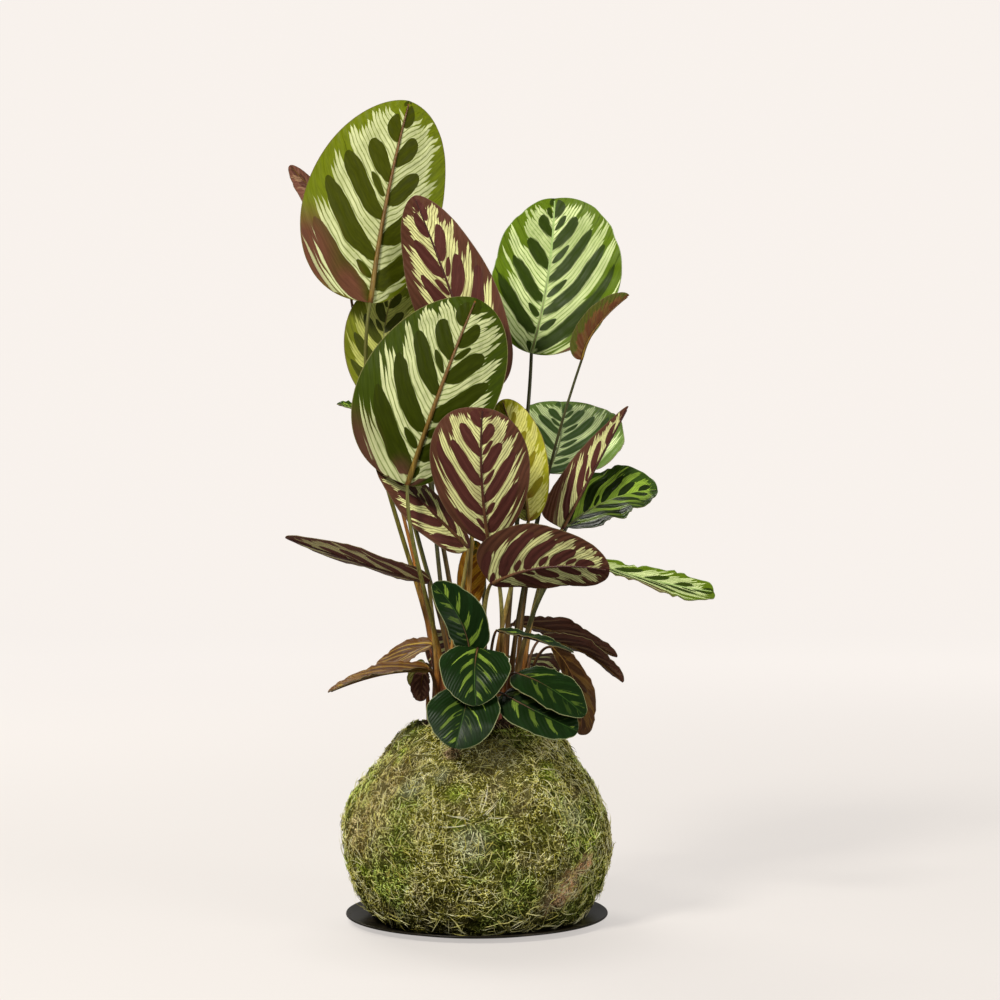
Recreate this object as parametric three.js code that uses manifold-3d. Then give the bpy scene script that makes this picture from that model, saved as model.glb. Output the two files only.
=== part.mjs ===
// Peacock plant growing from a moss ball on a shallow dish, in millimetres, +Z up.
// The origin is the centre of the dish's underside, and -Y is the side that the plant shows.
import * as THREE from 'three';
import { mergeVertices } from 'three/addons/utils/BufferGeometryUtils.js';
import Module from 'manifold-3d';

const wasm = await Module();
wasm.setup();

// Driving dimensions
const GAP = 0.3;
const DISH_RADIUS = 100;
const DISH_FLOOR_RADIUS = 80;
const DISH_HEIGHT = 6;
const DISH_WALL = 1.5;
const DISH_SEGMENTS = 44;

// The moss ball's side outline from the dish's floor up to its mouth: radius and height.
const BALL_PROFILE = [
  [76, 1.8], [85, 8], [91, 18], [96, 30], [100, 46], [102.5, 63], [100.5, 78], [95.5, 94], [88, 107],
  [78.5, 120], [67, 134], [56, 145], [47, 151],
];
const BALL_HEART = 62;
const BALL_SEGMENTS = 40;
const MOSS_THICK = 9;
const MOSS_RELIEF = 2;
const TUFT_RELIEF = 2.4;
const SOIL_TOP = 155;
const SOIL_SHOULDER = 34;
const FOOT_Z = 158;
const ROOT_DEPTH = 13;
const HOLE_CLEARANCE = 0.35;
const HOLE_SIDES = 6;

const BLADE_THICK = 0.7;
const MIDRIB_RISE = 1.3;
const MARGIN_START = 1.5;
const MARGIN_END = 0.8;
const STEM_SIDES = 5;
const STEM_OVERLAP = 0.07;
const LARGE_BLADE_LENGTH = 77;
const LARGE = {
  columns: [-1, -0.64, -0.3, 0, 0.3, 0.64, 1], rows: 9, stemSteps: 6, footRadius: 2.3, neckRadius: 1.3,
};
const SMALL = {
  columns: [-1, -0.52, 0, 0.52, 1], rows: 7, stemSteps: 4, footRadius: 1.7, neckRadius: 1.0,
};

const TONES = { bright: 0x86a04a, purple: 0x5d3338, young: 0x1f4a24, yellow: 0xa8a23a, amber: 0xb9772a };

const vec = (point) => new THREE.Vector3(...point);

// Leaves, from the front of the plant to its back.
// foot: where the stem leaves the soil. bend: what the stem leans towards. neck, mid, tip: the midrib.
// face: the way the upper side looks. wide: half widths on either side. peak: where each half is widest.
// fold and curl: how far the halves lift from the midrib, in degrees. twist: the turn from neck to tip.
// wave: height and number of the ripples along the margins.
const LEAVES = {
  leaf_top_left: {
    tone: 'bright', foot: [-24, 7], bend: [-100, -14, 368], neck: [-81, -10, 470], mid: [-69, -2, 549],
    tip: [-52, 10, 627], face: [-0.15, 1, 0.15], wide: [44, 62], peak: [0.54, 0.42], fold: 8, curl: 6,
    wave: [1.5, 2],
  },
  leaf_upper_purple: {
    tone: 'purple', foot: [-9, -9], bend: [-2, -34, 330], neck: [6, -26, 400], mid: [-20, -32, 478],
    tip: [-47, -34, 548], face: [0.25, 1, 0.1], wide: [33, 35], peak: [0.36, 0.45], fold: 14, curl: 8,
    wave: [1.5, 2.5],
  },
  leaf_big_green: {
    tone: 'bright', foot: [-21, -15], bend: [-52, -67, 284], neck: [-51, -54, 331], mid: [-26, -58, 403],
    tip: [0, -46, 470], face: [0.05, 1, 0.1], wide: [42, 60], peak: [0.56, 0.4], fold: 4, curl: 8,
    wave: [1.5, 1.5],
  },
  leaf_front_purple: {
    tone: 'purple', foot: [17, -16], bend: [24, -36, 250], neck: [9, -56, 289], mid: [4, -74, 340],
    tip: [5, -84, 387], face: [0.05, 1, 0.25], wide: [35, 38], peak: [0.52, 0.6], fold: 6, curl: 12,
    wave: [1, 2],
  },
  leaf_front_lying: {
    tone: 'purple', foot: [2, -25], bend: [5, -38, 252], neck: [11, -60, 258], mid: [50, -80, 271],
    tip: [97, -92, 269], face: [0.1, 0.8, 0.6], wide: [22, 36], peak: [0.6, 0.36], fold: 6, curl: 8,
    wave: [1.5, 2],
  },
  leaf_right_top: {
    tone: 'bright', foot: [20, 12], bend: [40, 20, 370], neck: [42, 30, 434], mid: [55, 40, 494],
    tip: [61, 62, 559], face: [-0.1, -1, 0.45], wide: [43, 58], peak: [0.48, 0.5], fold: 10, curl: 4,
    wave: [2.5, 3],
  },
  leaf_narrow_right: {
    tone: 'purple', foot: [29, 4], bend: [52, 4, 345], neck: [80, 0, 427], mid: [91, -4, 452],
    tip: [116, -8, 476], face: [-0.75, 0.5, 0.4], wide: [13, 13], peak: [0.45, 0.45], fold: 42, curl: 8,
    wave: [0.5, 1],
  },
  leaf_yellow: {
    tone: 'yellow', foot: [10, -8], bend: [30, -22, 270], neck: [39, -30, 304], mid: [32, -38, 351],
    tip: [19, -36, 395], face: [0.2, 1, 0.1], wide: [20, 22], peak: [0.5, 0.5], fold: 14, curl: 10,
    wave: [1.5, 2],
  },
  leaf_right_back: {
    tone: 'bright', foot: [24, 19], bend: [44, 24, 290], neck: [54, 34, 341], mid: [66, 74, 370],
    tip: [67, 112, 400], face: [0.1, -0.5, 0.86], wide: [40, 50], peak: [0.45, 0.5], fold: 6, curl: 4,
    wave: [2, 2.5],
  },
  leaf_right_green: {
    tone: 'bright', foot: [31, 11], bend: [50, 24, 262], neck: [70, 40, 299], mid: [104, 50, 320],
    tip: [142, 54, 328], face: [-0.1, -0.6, 0.8], wide: [30, 34], peak: [0.5, 0.5], fold: 12, curl: 6,
    wave: [2.5, 3],
  },
  leaf_folded_purple: {
    tone: 'purple', foot: [34, -5], bend: [44, -2, 258], neck: [65, -6, 298], mid: [88, -10, 341],
    tip: [115, -14, 391], face: [-0.62, 0.71, 0.34], wide: [20, 21], peak: [0.2, 0.2], fold: 46,
    curl: 4, wave: [1, 1.5],
  },
  leaf_far_right: {
    tone: 'bright', foot: [27, -17], bend: [46, -32, 262], neck: [72, -37, 278], mid: [126, -38, 261],
    tip: [178, -32, 251], face: [0.1, -0.42, 0.9], wide: [14, 24], peak: [0.62, 0.62], fold: 12,
    curl: 4, twist: 26, wave: [1, 2],
  },
  leaf_far_left: {
    tone: 'purple', foot: [-29, -8], bend: [-34, -23, 240], neck: [-36, -30, 258], mid: [-83, -36, 272],
    tip: [-143, -38, 292], face: [-0.2, 0.3, 0.93], wide: [19, 19], peak: [0.42, 0.42], fold: 6,
    curl: 8, twist: 10, wave: [1, 2],
  },
  leaf_left_low: {
    tone: 'purple', foot: [-33, 4], bend: [-32, -2, 206], neck: [-34, -8, 209], mid: [-56, -5, 201],
    tip: [-79, -4, 186], face: [-0.3, -0.4, 0.87], wide: [15, 15], peak: [0.45, 0.45], fold: 8,
    curl: 6, wave: [0.8, 2],
  },
  leaf_left_lowest: {
    tone: 'purple', foot: [-30, -18], bend: [-31, -28, 188], neck: [-35, -34, 192], mid: [-70, -38, 190],
    tip: [-111, -38, 176], face: [-0.15, -0.15, 0.97], wide: [16, 16], peak: [0.4, 0.4], fold: 12,
    curl: 6, wave: [0.8, 2],
  },
  leaf_left_small: {
    tone: 'yellow', foot: [-30, 13], bend: [-34, 14, 194], neck: [-40, 14, 194], mid: [-47, 14, 187],
    tip: [-49, 12, 176], face: [-0.5, -0.4, 0.5], wide: [7, 7], peak: [0.45, 0.45], fold: 10, curl: 8,
    wave: [0.4, 1],
  },
  leaf_left_hanging: {
    tone: 'purple', foot: [-37, -5], bend: [-39, -10, 192], neck: [-40, -13, 190], mid: [-42, -17, 179],
    tip: [-41, -20, 168], face: [-0.3, -0.8, 0.3], wide: [7, 7], peak: [0.5, 0.5], fold: 12, curl: 10,
    wave: [0.4, 1],
  },
  leaf_young_centre: {
    tone: 'young', foot: [-8, -31], bend: [1, -44, 207], neck: [1, -52, 210], mid: [-1, -70, 194],
    tip: [0, -82, 170], face: [0, -0.75, 0.6], wide: [25, 25], peak: [0.42, 0.42], fold: 8, curl: -10,
    wave: [1.2, 2],
  },
  leaf_young_lowest: {
    tone: 'young', foot: [-19, -30], bend: [-14, -50, 184], neck: [-5, -61, 182], mid: [-9, -80, 163],
    tip: [-15, -91, 140], face: [-0.1, -0.8, 0.55], wide: [25, 26], peak: [0.45, 0.45], fold: 8,
    curl: -8, wave: [1, 2],
  },
  leaf_young_upright: {
    tone: 'young', foot: [-12, -22], bend: [-7, -40, 194], neck: [-5, -44, 206], mid: [-13, -50, 233],
    tip: [-32, -48, 258], face: [0.1, -1, 0.2], wide: [12, 18], peak: [0.45, 0.4], fold: 14, curl: 4,
    wave: [1, 2],
  },
  leaf_young_right: {
    tone: 'young', foot: [14, -31], bend: [22, -48, 194], neck: [30, -59, 192], mid: [55, -77, 182],
    tip: [79, -85, 163], face: [0.2, -0.6, 0.8], wide: [20, 20], peak: [0.45, 0.45], fold: 6, curl: -8,
    wave: [1, 2],
  },
  leaf_young_right_low: {
    tone: 'young', foot: [3, -36], bend: [10, -50, 180], neck: [20, -60, 177], mid: [46, -82, 165],
    tip: [74, -87, 152], face: [0, -0.8, 0.6], wide: [22, 18], peak: [0.45, 0.45], fold: 6, curl: -8,
    wave: [1, 2],
  },
  leaf_brown_hanging: {
    tone: 'purple', foot: [36, 4], bend: [46, -6, 212], neck: [57, -12, 208], mid: [74, -20, 182],
    tip: [79, -27, 143], face: [0.75, -0.6, 0.3], wide: [15, 15], peak: [0.6, 0.6], fold: 8, curl: 8,
    twist: 10, wave: [1, 2],
  },
  leaf_brown_right: {
    tone: 'purple', foot: [16, 28], bend: [20, 32, 218], neck: [27, 36, 223], mid: [67, 48, 215],
    tip: [110, 54, 196], face: [0.2, 0.4, 0.9], wide: [19, 19], peak: [0.36, 0.36], fold: 8, curl: 8,
    wave: [1.5, 2],
  },
  leaf_brown_right_low: {
    tone: 'purple', foot: [37, -12], bend: [38, -6, 206], neck: [48, 0, 213], mid: [81, 4, 204],
    tip: [112, 6, 180], face: [0.2, 0.3, 0.9], wide: [18, 18], peak: [0.4, 0.4], fold: 8, curl: 8,
    wave: [1, 2],
  },
  leaf_front_edge: {
    tone: 'young', foot: [9, -20], bend: [10, -40, 216], neck: [15, -46, 223], mid: [43, -54, 217],
    tip: [72, -58, 207], face: [0.2, -0.1, 1], wide: [12, 12], peak: [0.45, 0.45], fold: 6, curl: 6,
    wave: [0.8, 2],
  },
  leaf_behind_top: {
    tone: 'bright', foot: [-29, 19], bend: [-104, 32, 440], neck: [-103, 36, 526], mid: [-125, 44, 557],
    tip: [-148, 48, 583], face: [-0.6, 0.5, 0.5], wide: [12, 12], peak: [0.4, 0.4], fold: 30, curl: 8,
    wave: [0.8, 2],
  },
  leaf_olive: {
    tone: 'yellow', foot: [-14, 7], bend: [-62, -2, 310], neck: [-61, 6, 392], mid: [-72, 12, 440],
    tip: [-62, 24, 488], face: [0, -1, 0.1], wide: [30, 33], peak: [0.5, 0.5], fold: 12, curl: 6,
    wave: [2, 2],
  },
  leaf_left_tip: {
    tone: 'bright', foot: [-15, -16], bend: [-52, -15, 300], neck: [-58, -24, 360], mid: [-80, -30, 382],
    tip: [-105, -30, 392], face: [-0.2, -0.2, 0.95], wide: [12, 12], peak: [0.45, 0.45], fold: 10,
    curl: 8, wave: [0.8, 2],
  },
  leaf_under_front: {
    tone: 'purple', foot: [-24, -24], bend: [-8, -32, 262], neck: [-6, -36, 284], mid: [-40, -41, 318],
    tip: [-74, -40, 355], face: [-0.5, 0.8, -0.3], wide: [17, 17], peak: [0.45, 0.45], fold: 12,
    curl: 8, wave: [1, 2],
  },
  leaf_amber: {
    tone: 'amber', foot: [2, 2], bend: [-8, 1, 212], neck: [-8, 0, 236], mid: [-6, 2, 262],
    tip: [-2, 6, 289], face: [0.3, -1, 0.1], wide: [13, 13], peak: [0.5, 0.5], fold: 26, curl: 20,
    wave: [0.5, 1],
  },
  leaf_back_left: {
    tone: 'bright', foot: [-20, 27], bend: [-42, 58, 330], neck: [-34, 70, 360], mid: [-26, 92, 416],
    tip: [-20, 100, 466], face: [0, 1, 0.4], wide: [36, 36], peak: [0.45, 0.45], fold: 10, curl: 6,
    wave: [2, 2],
  },
  leaf_back_top: {
    tone: 'bright', foot: [-9, 19], bend: [-60, 52, 420], neck: [-68, 56, 478], mid: [-64, 66, 540],
    tip: [-56, 84, 590], face: [0, 1, 0.3], wide: [34, 34], peak: [0.45, 0.45], fold: 10, curl: 6,
    wave: [2, 2],
  },
  leaf_back_middle: {
    tone: 'bright', foot: [6, 30], bend: [4, 56, 300], neck: [6, 66, 318], mid: [2, 104, 340],
    tip: [0, 142, 342], face: [0, 0.3, 1], wide: [30, 30], peak: [0.45, 0.45], fold: 8, curl: 6,
    wave: [2, 2],
  },
  leaf_back_low: {
    tone: 'bright', foot: [-6, 36], bend: [-12, 52, 208], neck: [-14, 60, 212], mid: [-22, 90, 202],
    tip: [-28, 114, 176], face: [0, 0.5, 0.85], wide: [20, 20], peak: [0.45, 0.45], fold: 8, curl: 6,
    wave: [1.5, 2],
  },
  leaf_back_low_right: {
    tone: 'bright', foot: [24, 30], bend: [30, 50, 192], neck: [33, 58, 194], mid: [46, 84, 188],
    tip: [52, 106, 166], face: [0.1, 0.5, 0.85], wide: [18, 18], peak: [0.45, 0.45], fold: 8, curl: 6,
    wave: [1.5, 2],
  },
};

// Joins the vertices of a geometry that lie together, so that it is one closed skin.
function welded(geometry) {
  geometry.deleteAttribute('normal');
  geometry.deleteAttribute('uv');
  return mergeVertices(geometry, 1e-4);
}

function solidFrom(geometry) {
  const mesh = new wasm.Mesh({
    numProp: 3,
    vertProperties: geometry.attributes.position.array,
    triVerts: new Uint32Array(geometry.index.array),
  });
  return new wasm.Manifold(mesh);
}

function geometryFrom(solid) {
  const { vertProperties, triVerts } = solid.getMesh();
  const geometry = new THREE.BufferGeometry();
  geometry.setAttribute('position', new THREE.BufferAttribute(vertProperties, 3));
  geometry.setIndex(new THREE.BufferAttribute(triVerts, 1));
  geometry.computeVertexNormals();
  return geometry;
}

// Bends a closed cylinder onto a row of points, with a radius at each point.
function tubeThrough(points, radii, sides) {
  const tube = welded(new THREE.CylinderGeometry(1, 1, 1, sides, points.length - 1));
  const position = tube.attributes.position;
  const side = new THREE.Vector3(1, 0, 0);
  const frames = points.map((point, i) => {
    const before = points[Math.max(i - 1, 0)];
    const after = points[Math.min(i + 1, points.length - 1)];
    const along = after.clone().sub(before).normalize();
    side.addScaledVector(along, -side.dot(along)).normalize();
    return { across: side.clone(), other: along.clone().cross(side) };
  });
  for (let k = 0; k < position.count; k += 1) {
    const local = new THREE.Vector3().fromBufferAttribute(position, k);
    const i = Math.round((local.y + 0.5) * (points.length - 1));
    const place = points[i].clone()
      .addScaledVector(frames[i].across, local.z * radii[i])
      .addScaledVector(frames[i].other, local.x * radii[i]);
    position.setXYZ(k, place.x, place.y, place.z);
  }
  return tube;
}

// The stem stands straight in the soil, then rises and leans over to the neck of the blade.
function stemPath(leaf) {
  const foot = new THREE.Vector3(leaf.foot[0], leaf.foot[1], FOOT_Z);
  const neck = vec(leaf.neck);
  const bend = vec(leaf.bend);
  const lean = bend.clone().sub(foot);
  const start = new THREE.Vector3(lean.x * 0.35, lean.y * 0.35, lean.z).normalize();
  const rise = foot.distanceTo(neck) * 0.36;
  const root = foot.clone().addScaledVector(start, -ROOT_DEPTH);
  const curve = new THREE.CubicBezierCurve3(foot, foot.clone().addScaledVector(start, rise), bend, neck);
  return { root, start, curve };
}

// The blade's midrib, with its frame: along the rib, out of the upper face, and across.
function midribFrame(leaf, v) {
  const neck = vec(leaf.neck);
  const tip = vec(leaf.tip);
  const crest = vec(leaf.mid).multiplyScalar(2).addScaledVector(neck, -0.5).addScaledVector(tip, -0.5);
  const rib = new THREE.QuadraticBezierCurve3(neck, crest, tip);
  const along = rib.getTangent(v);
  const out = vec(leaf.face);
  out.addScaledVector(along, -out.dot(along)).normalize();
  out.applyAxisAngle(along, THREE.MathUtils.degToRad(leaf.twist ?? 0) * (v - 0.5));
  return { at: rib.getPoint(v), along, out, across: along.clone().cross(out) };
}

// How wide the blade is along its rib, from 0 at both ends to 1 at the peak.
function ovalShare(v, peak) {
  return (v / peak) ** peak * ((1 - v) / (1 - peak)) ** (1 - peak);
}

// A point of the blade's middle skin and the way its upper face looks there, at v along and s across.
function bladePoint(leaf, v, s) {
  const { at, along, out, across } = midribFrame(leaf, v);
  const half = s < 0 ? 0 : 1;
  const share = ovalShare(v, leaf.peak[half]);
  const endWidth = THREE.MathUtils.lerp(MARGIN_START, MARGIN_END, v);
  const reach = (leaf.wide[half] * share + endWidth) * Math.abs(s);
  const fold = THREE.MathUtils.degToRad(leaf.fold);
  const curl = THREE.MathUtils.degToRad(leaf.curl) * Math.abs(s);
  const [height, count] = leaf.wave;
  const ripple = height * Math.abs(s) ** 1.5 * share * Math.sin(2 * Math.PI * count * v + 2 * half);
  const sign = half ? 1 : -1;
  const middle = at.clone()
    .addScaledVector(across, sign * reach * Math.cos(fold + curl / 2))
    .addScaledVector(out, reach * Math.sin(fold + curl / 2) + ripple);
  const slope = s === 0 ? 0 : fold + curl;
  const normal = out.clone().multiplyScalar(Math.cos(slope)).addScaledVector(across, -sign * Math.sin(slope));
  return { middle, normal, along };
}

function leafDetail(leaf) {
  return vec(leaf.neck).distanceTo(vec(leaf.tip)) > LARGE_BLADE_LENGTH ? LARGE : SMALL;
}

// The blade is two alike sheets and the margin that closes them.
function bladeGeometry(leaf, detail) {
  const { columns, rows } = detail;
  const sheet = new THREE.PlaneGeometry(1, 1, columns.length - 1, rows);
  const width = columns.length;
  const upper = [];
  const lower = [];
  for (let row = 0; row <= rows; row += 1) {
    const v = (1 + Math.cos(Math.PI * row / rows)) / 2;
    for (const s of columns) {
      const { middle, normal } = bladePoint(leaf, v, s);
      const rib = s === 0 ? MIDRIB_RISE * (1 - v) : 0;
      upper.push(...middle.clone().addScaledVector(normal, BLADE_THICK / 2));
      lower.push(...middle.addScaledVector(normal, -BLADE_THICK / 2 - rib));
    }
  }
  const count = width * (rows + 1);
  const faces = [...sheet.index.array];
  for (let k = 0; k < sheet.index.count; k += 3) {
    const [a, b, c] = faces.slice(k, k + 3);
    faces.push(a + count, c + count, b + count);
  }
  const rim = [];
  for (let k = 0; k < rows; k += 1) rim.push(k * width);
  for (let k = 0; k < width - 1; k += 1) rim.push(rows * width + k);
  for (let k = rows; k > 0; k -= 1) rim.push(k * width + width - 1);
  for (let k = width - 1; k > 0; k -= 1) rim.push(k);
  rim.forEach((here, k) => {
    const next = rim[(k + 1) % rim.length];
    faces.push(next, here, here + count, next, here + count, next + count);
  });
  const geometry = new THREE.BufferGeometry();
  geometry.setAttribute('position', new THREE.Float32BufferAttribute([...upper, ...lower], 3));
  geometry.setIndex(faces);
  return geometry;
}

function leafSolid(leaf) {
  const { root, curve } = stemPath(leaf);
  const detail = leafDetail(leaf);
  const steps = detail.stemSteps;
  const inside = midribFrame(leaf, STEM_OVERLAP);
  const points = [root, ...curve.getPoints(steps), inside.at.addScaledVector(inside.out, -BLADE_THICK / 2)];
  const radii = points.map((_, i) => {
    const share = THREE.MathUtils.clamp((i - 1) / steps, 0, 1);
    return THREE.MathUtils.lerp(detail.footRadius, detail.neckRadius, share);
  });
  const stem = solidFrom(tubeThrough(points, radii, STEM_SIDES));
  return stem.add(solidFrom(bladeGeometry(leaf, detail)));
}

function leafMesh(name, leaf) {
  const material = new THREE.MeshStandardMaterial({ color: TONES[leaf.tone], roughness: 0.45, metalness: 0 });
  const mesh = new THREE.Mesh(geometryFrom(leafSolid(leaf)), material);
  mesh.name = name;
  return mesh;
}

function latheMesh(name, outline, segments, material) {
  const profile = outline.map(([radius, height]) => new THREE.Vector2(radius, height));
  const geometry = welded(new THREE.LatheGeometry(profile, segments));
  geometry.rotateX(Math.PI / 2);
  geometry.computeVertexNormals();
  const mesh = new THREE.Mesh(geometry, material);
  mesh.name = name;
  return mesh;
}

// A shallow dish: a flat floor, a flared side and a round rim.
function dish() {
  const rimRise = DISH_HEIGHT - DISH_WALL;
  const outline = [
    [0, 0],
    [DISH_FLOOR_RADIUS, 0],
    [DISH_RADIUS - DISH_WALL / 3, rimRise - 0.1],
    [DISH_RADIUS, rimRise + 0.5],
    [DISH_RADIUS - 0.2, DISH_HEIGHT - 0.3],
    [DISH_RADIUS - 0.8, DISH_HEIGHT],
    [DISH_FLOOR_RADIUS - 0.4, DISH_WALL],
    [0, DISH_WALL],
  ];
  const material = new THREE.MeshStandardMaterial({ color: 0x332e27, roughness: 0.3, metalness: 0.1 });
  return latheMesh('dish', outline, DISH_SEGMENTS, material);
}

// The ball's outline moved inwards towards its heart, from the floor up to the mouth.
function ballOutline(inset) {
  const places = BALL_PROFILE.filter((_, i) => inset === 0 || i % 2 === 0);
  return places.map(([radius, height]) => {
    const inward = new THREE.Vector2(-radius, BALL_HEART - height).normalize();
    return [radius + inward.x * inset, height + inward.y * inset];
  });
}

// How far the moss stands out at an angle and a height: low mounds round the ball.
function mossMound(angle, height) {
  const broad = Math.sin(3 * angle + height / 23 + 0.6);
  const middling = Math.sin(7 * angle - height / 11);
  const small = Math.sin(13 * angle + height / 7 + 2);
  return MOSS_RELIEF * (0.5 * broad + 0.3 * middling + 0.2 * small);
}

// A tuft's own height, uneven from place to place but the same on every run.
function tuftHeight(angle, height) {
  const scatter = Math.sin(Math.round(angle * 1000) * 12.9898 + height * 78.233) * 43758.5453;
  return TUFT_RELIEF * (scatter - Math.floor(scatter) - 0.5);
}

function mossCover() {
  const outer = ballOutline(0);
  const inner = ballOutline(MOSS_THICK).reverse();
  const outline = [[0, outer[0][1]], ...outer, ...inner, [0, inner[inner.length - 1][1]]];
  const material = new THREE.MeshStandardMaterial({ color: 0x7c8236, roughness: 1, metalness: 0 });
  const mesh = latheMesh('moss_cover', outline, BALL_SEGMENTS, material);
  const position = mesh.geometry.attributes.position;
  for (let k = 0; k < position.count; k += 1) {
    const [x, y, z] = [position.getX(k), position.getY(k), position.getZ(k)];
    const radius = Math.hypot(x, y);
    const isOutside = outer.slice(1, -1).some((place) => Math.hypot(place[0] - radius, place[1] - z) < 0.01);
    const angle = Math.atan2(y, x);
    const scale = isOutside ? (radius + mossMound(angle, z) + tuftHeight(angle, z)) / radius : 1;
    position.setXYZ(k, x * scale, y * scale, z);
  }
  mesh.geometry.computeVertexNormals();
  return mesh;
}

// The ball of soil fills the moss cover, with a plain hole round each stem.
function soilBall(leaves) {
  const outer = ballOutline(MOSS_THICK + GAP);
  const outline = [[0, outer[0][1]], ...outer, [SOIL_SHOULDER, SOIL_TOP - 3], [0, SOIL_TOP]];
  const material = new THREE.MeshStandardMaterial({ color: 0x33261b, roughness: 1, metalness: 0 });
  const mesh = latheMesh('soil_ball', outline, BALL_SEGMENTS, material);
  let soil = solidFrom(mesh.geometry);
  for (const leaf of leaves) {
    const { root, start, curve } = stemPath(leaf);
    const bottom = root.clone().addScaledVector(start, -HOLE_CLEARANCE);
    const inner = leafDetail(leaf).footRadius + HOLE_CLEARANCE;
    const radius = inner / Math.cos(Math.PI / HOLE_SIDES);
    const top = curve.getPoint(0);
    soil = soil.subtract(solidFrom(tubeThrough([bottom, top], [radius, radius], HOLE_SIDES)));
  }
  mesh.geometry = geometryFrom(soil);
  return mesh;
}

const plant = new THREE.Group();
plant.add(dish());
plant.add(mossCover());
plant.add(soilBall(Object.values(LEAVES)));
for (const [name, leaf] of Object.entries(LEAVES)) plant.add(leafMesh(name, leaf));

export default plant;
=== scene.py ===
# %% [markdown]
# # A peacock plant growing from a moss ball
# A kokedama is a plant whose roots are held in a ball of soil, with living moss wrapped round it. This one
# is a peacock plant, known for its feathered leaves, and its ball stands on a shallow dark dish.
# The plain solids of the part are loaded first as the frame. Every piece made here stands where one of those
# solids stands, in the same coordinates, and has the finer form and the finish of the real thing.

# %% Load the frame
import math
from types import SimpleNamespace

import bmesh
import bpy
import numpy as np
from mathutils import Matrix, Quaternion, Vector, noise


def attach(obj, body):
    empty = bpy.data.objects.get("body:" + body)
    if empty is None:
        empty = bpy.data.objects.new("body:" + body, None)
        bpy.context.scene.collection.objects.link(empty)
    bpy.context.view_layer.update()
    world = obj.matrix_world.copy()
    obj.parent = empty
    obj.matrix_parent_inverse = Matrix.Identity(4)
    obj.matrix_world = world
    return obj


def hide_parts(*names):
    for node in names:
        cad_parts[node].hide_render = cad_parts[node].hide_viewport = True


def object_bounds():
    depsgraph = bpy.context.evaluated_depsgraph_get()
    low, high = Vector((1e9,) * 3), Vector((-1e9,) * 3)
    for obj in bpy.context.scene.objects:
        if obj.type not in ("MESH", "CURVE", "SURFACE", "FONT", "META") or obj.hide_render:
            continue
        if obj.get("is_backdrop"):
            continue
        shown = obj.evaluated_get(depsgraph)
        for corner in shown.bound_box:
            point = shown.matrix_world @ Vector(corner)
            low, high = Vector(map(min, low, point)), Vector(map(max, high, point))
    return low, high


MM = 0.001
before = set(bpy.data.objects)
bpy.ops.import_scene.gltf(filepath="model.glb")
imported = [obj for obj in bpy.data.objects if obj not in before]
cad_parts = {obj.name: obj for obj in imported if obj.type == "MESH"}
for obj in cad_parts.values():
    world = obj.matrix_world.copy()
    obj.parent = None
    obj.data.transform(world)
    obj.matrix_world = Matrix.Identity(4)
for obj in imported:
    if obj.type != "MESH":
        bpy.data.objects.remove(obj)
cad_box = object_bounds()
print("solids in the frame:", len(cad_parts))

# %% [markdown]
# ## The camera
# The plant was photographed level, from 1.7 m, with a short telephoto lens. A level camera keeps upright
# things upright, and the lens gives little perspective, so the leaves keep their true sizes.

# %% Camera
EYE = Vector((17.6, -1700, 320))
LENS = 80
SENSOR = 36
scene = bpy.context.scene
scene.view_settings.view_transform = "Standard"
lens = bpy.data.cameras.new("camera")
lens.lens = LENS
lens.sensor_width = SENSOR
camera = bpy.data.objects.new("camera", lens)
camera.location = EYE * MM
camera.rotation_euler = (math.radians(90), 0, 0)
scene.collection.objects.link(camera)
scene.camera = camera
print("camera at", tuple(round(c, 3) for c in camera.location))

# %% [markdown]
# ## Small helpers
# Node trees are long to write by hand, so a few helpers place a node and join it up. A `Value` stands for
# what comes out of a node. Arithmetic with values adds the math nodes that work it out: `a * b + 1` becomes a
# multiply node and an add node. `soft_step` turns a value into a mask that goes from 0 to 1 between two
# edges. A colour is written as red, green and blue, and `join` adds that it is opaque.


# %% Values that can be reckoned with
class Value:
    """What comes out of a node: a number, a place or a colour."""

    def __init__(self, socket):
        self.socket = socket

    def __add__(self, other):
        return calc("ADD", self, other)

    def __sub__(self, other):
        return calc("SUBTRACT", self, other)

    def __rsub__(self, other):
        return calc("SUBTRACT", other, self)

    def __mul__(self, other):
        return calc("MULTIPLY", self, other)

    def __truediv__(self, other):
        return calc("DIVIDE", self, other)

    def __pow__(self, other):
        return calc("POWER", self, other)

    def __gt__(self, other):
        return calc("GREATER_THAN", self, other)

    def __lt__(self, other):
        return calc("LESS_THAN", self, other)

    def __abs__(self):
        return calc("ABSOLUTE", self)

    def __round__(self):
        return calc("ROUND", self)

    def __floor__(self):
        return calc("FLOOR", self)


def join(value, socket):
    if isinstance(value, Value):
        socket.id_data.links.new(value.socket, socket)
    else:
        socket.default_value = (*value, 1) if socket.type == "RGBA" else value


def place_node(kind, inputs, tree=None, output=0, **settings):
    """Places a node, sets it up and joins its inputs. Without a tree it stands beside its first value."""
    if tree is None:
        tree = next(value.socket.id_data for value in inputs.values() if isinstance(value, Value))
    node = tree.nodes.new("ShaderNode" + kind)
    for name, setting in settings.items():
        setattr(node, name, setting)
    for name, value in inputs.items():
        join(value, node.inputs[name])
    return Value(node.outputs[output])


def calc(operation, *values):
    return place_node("Math", dict(enumerate(values)), operation=operation)


print("operations that values know:", sum(callable(part) for part in vars(Value).values()) - 1)


# %% Helpers for numbers, places, colours and textures
def soft_step(value, low, high, start=0.0, end=1.0):
    inputs = {"Value": value, "From Min": low, "From Max": high, "To Min": start, "To Max": end}
    return place_node("MapRange", inputs, interpolation_type="SMOOTHSTEP")


def combine(x, y, z):
    return place_node("CombineXYZ", {"X": x, "Y": y, "Z": z})


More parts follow.
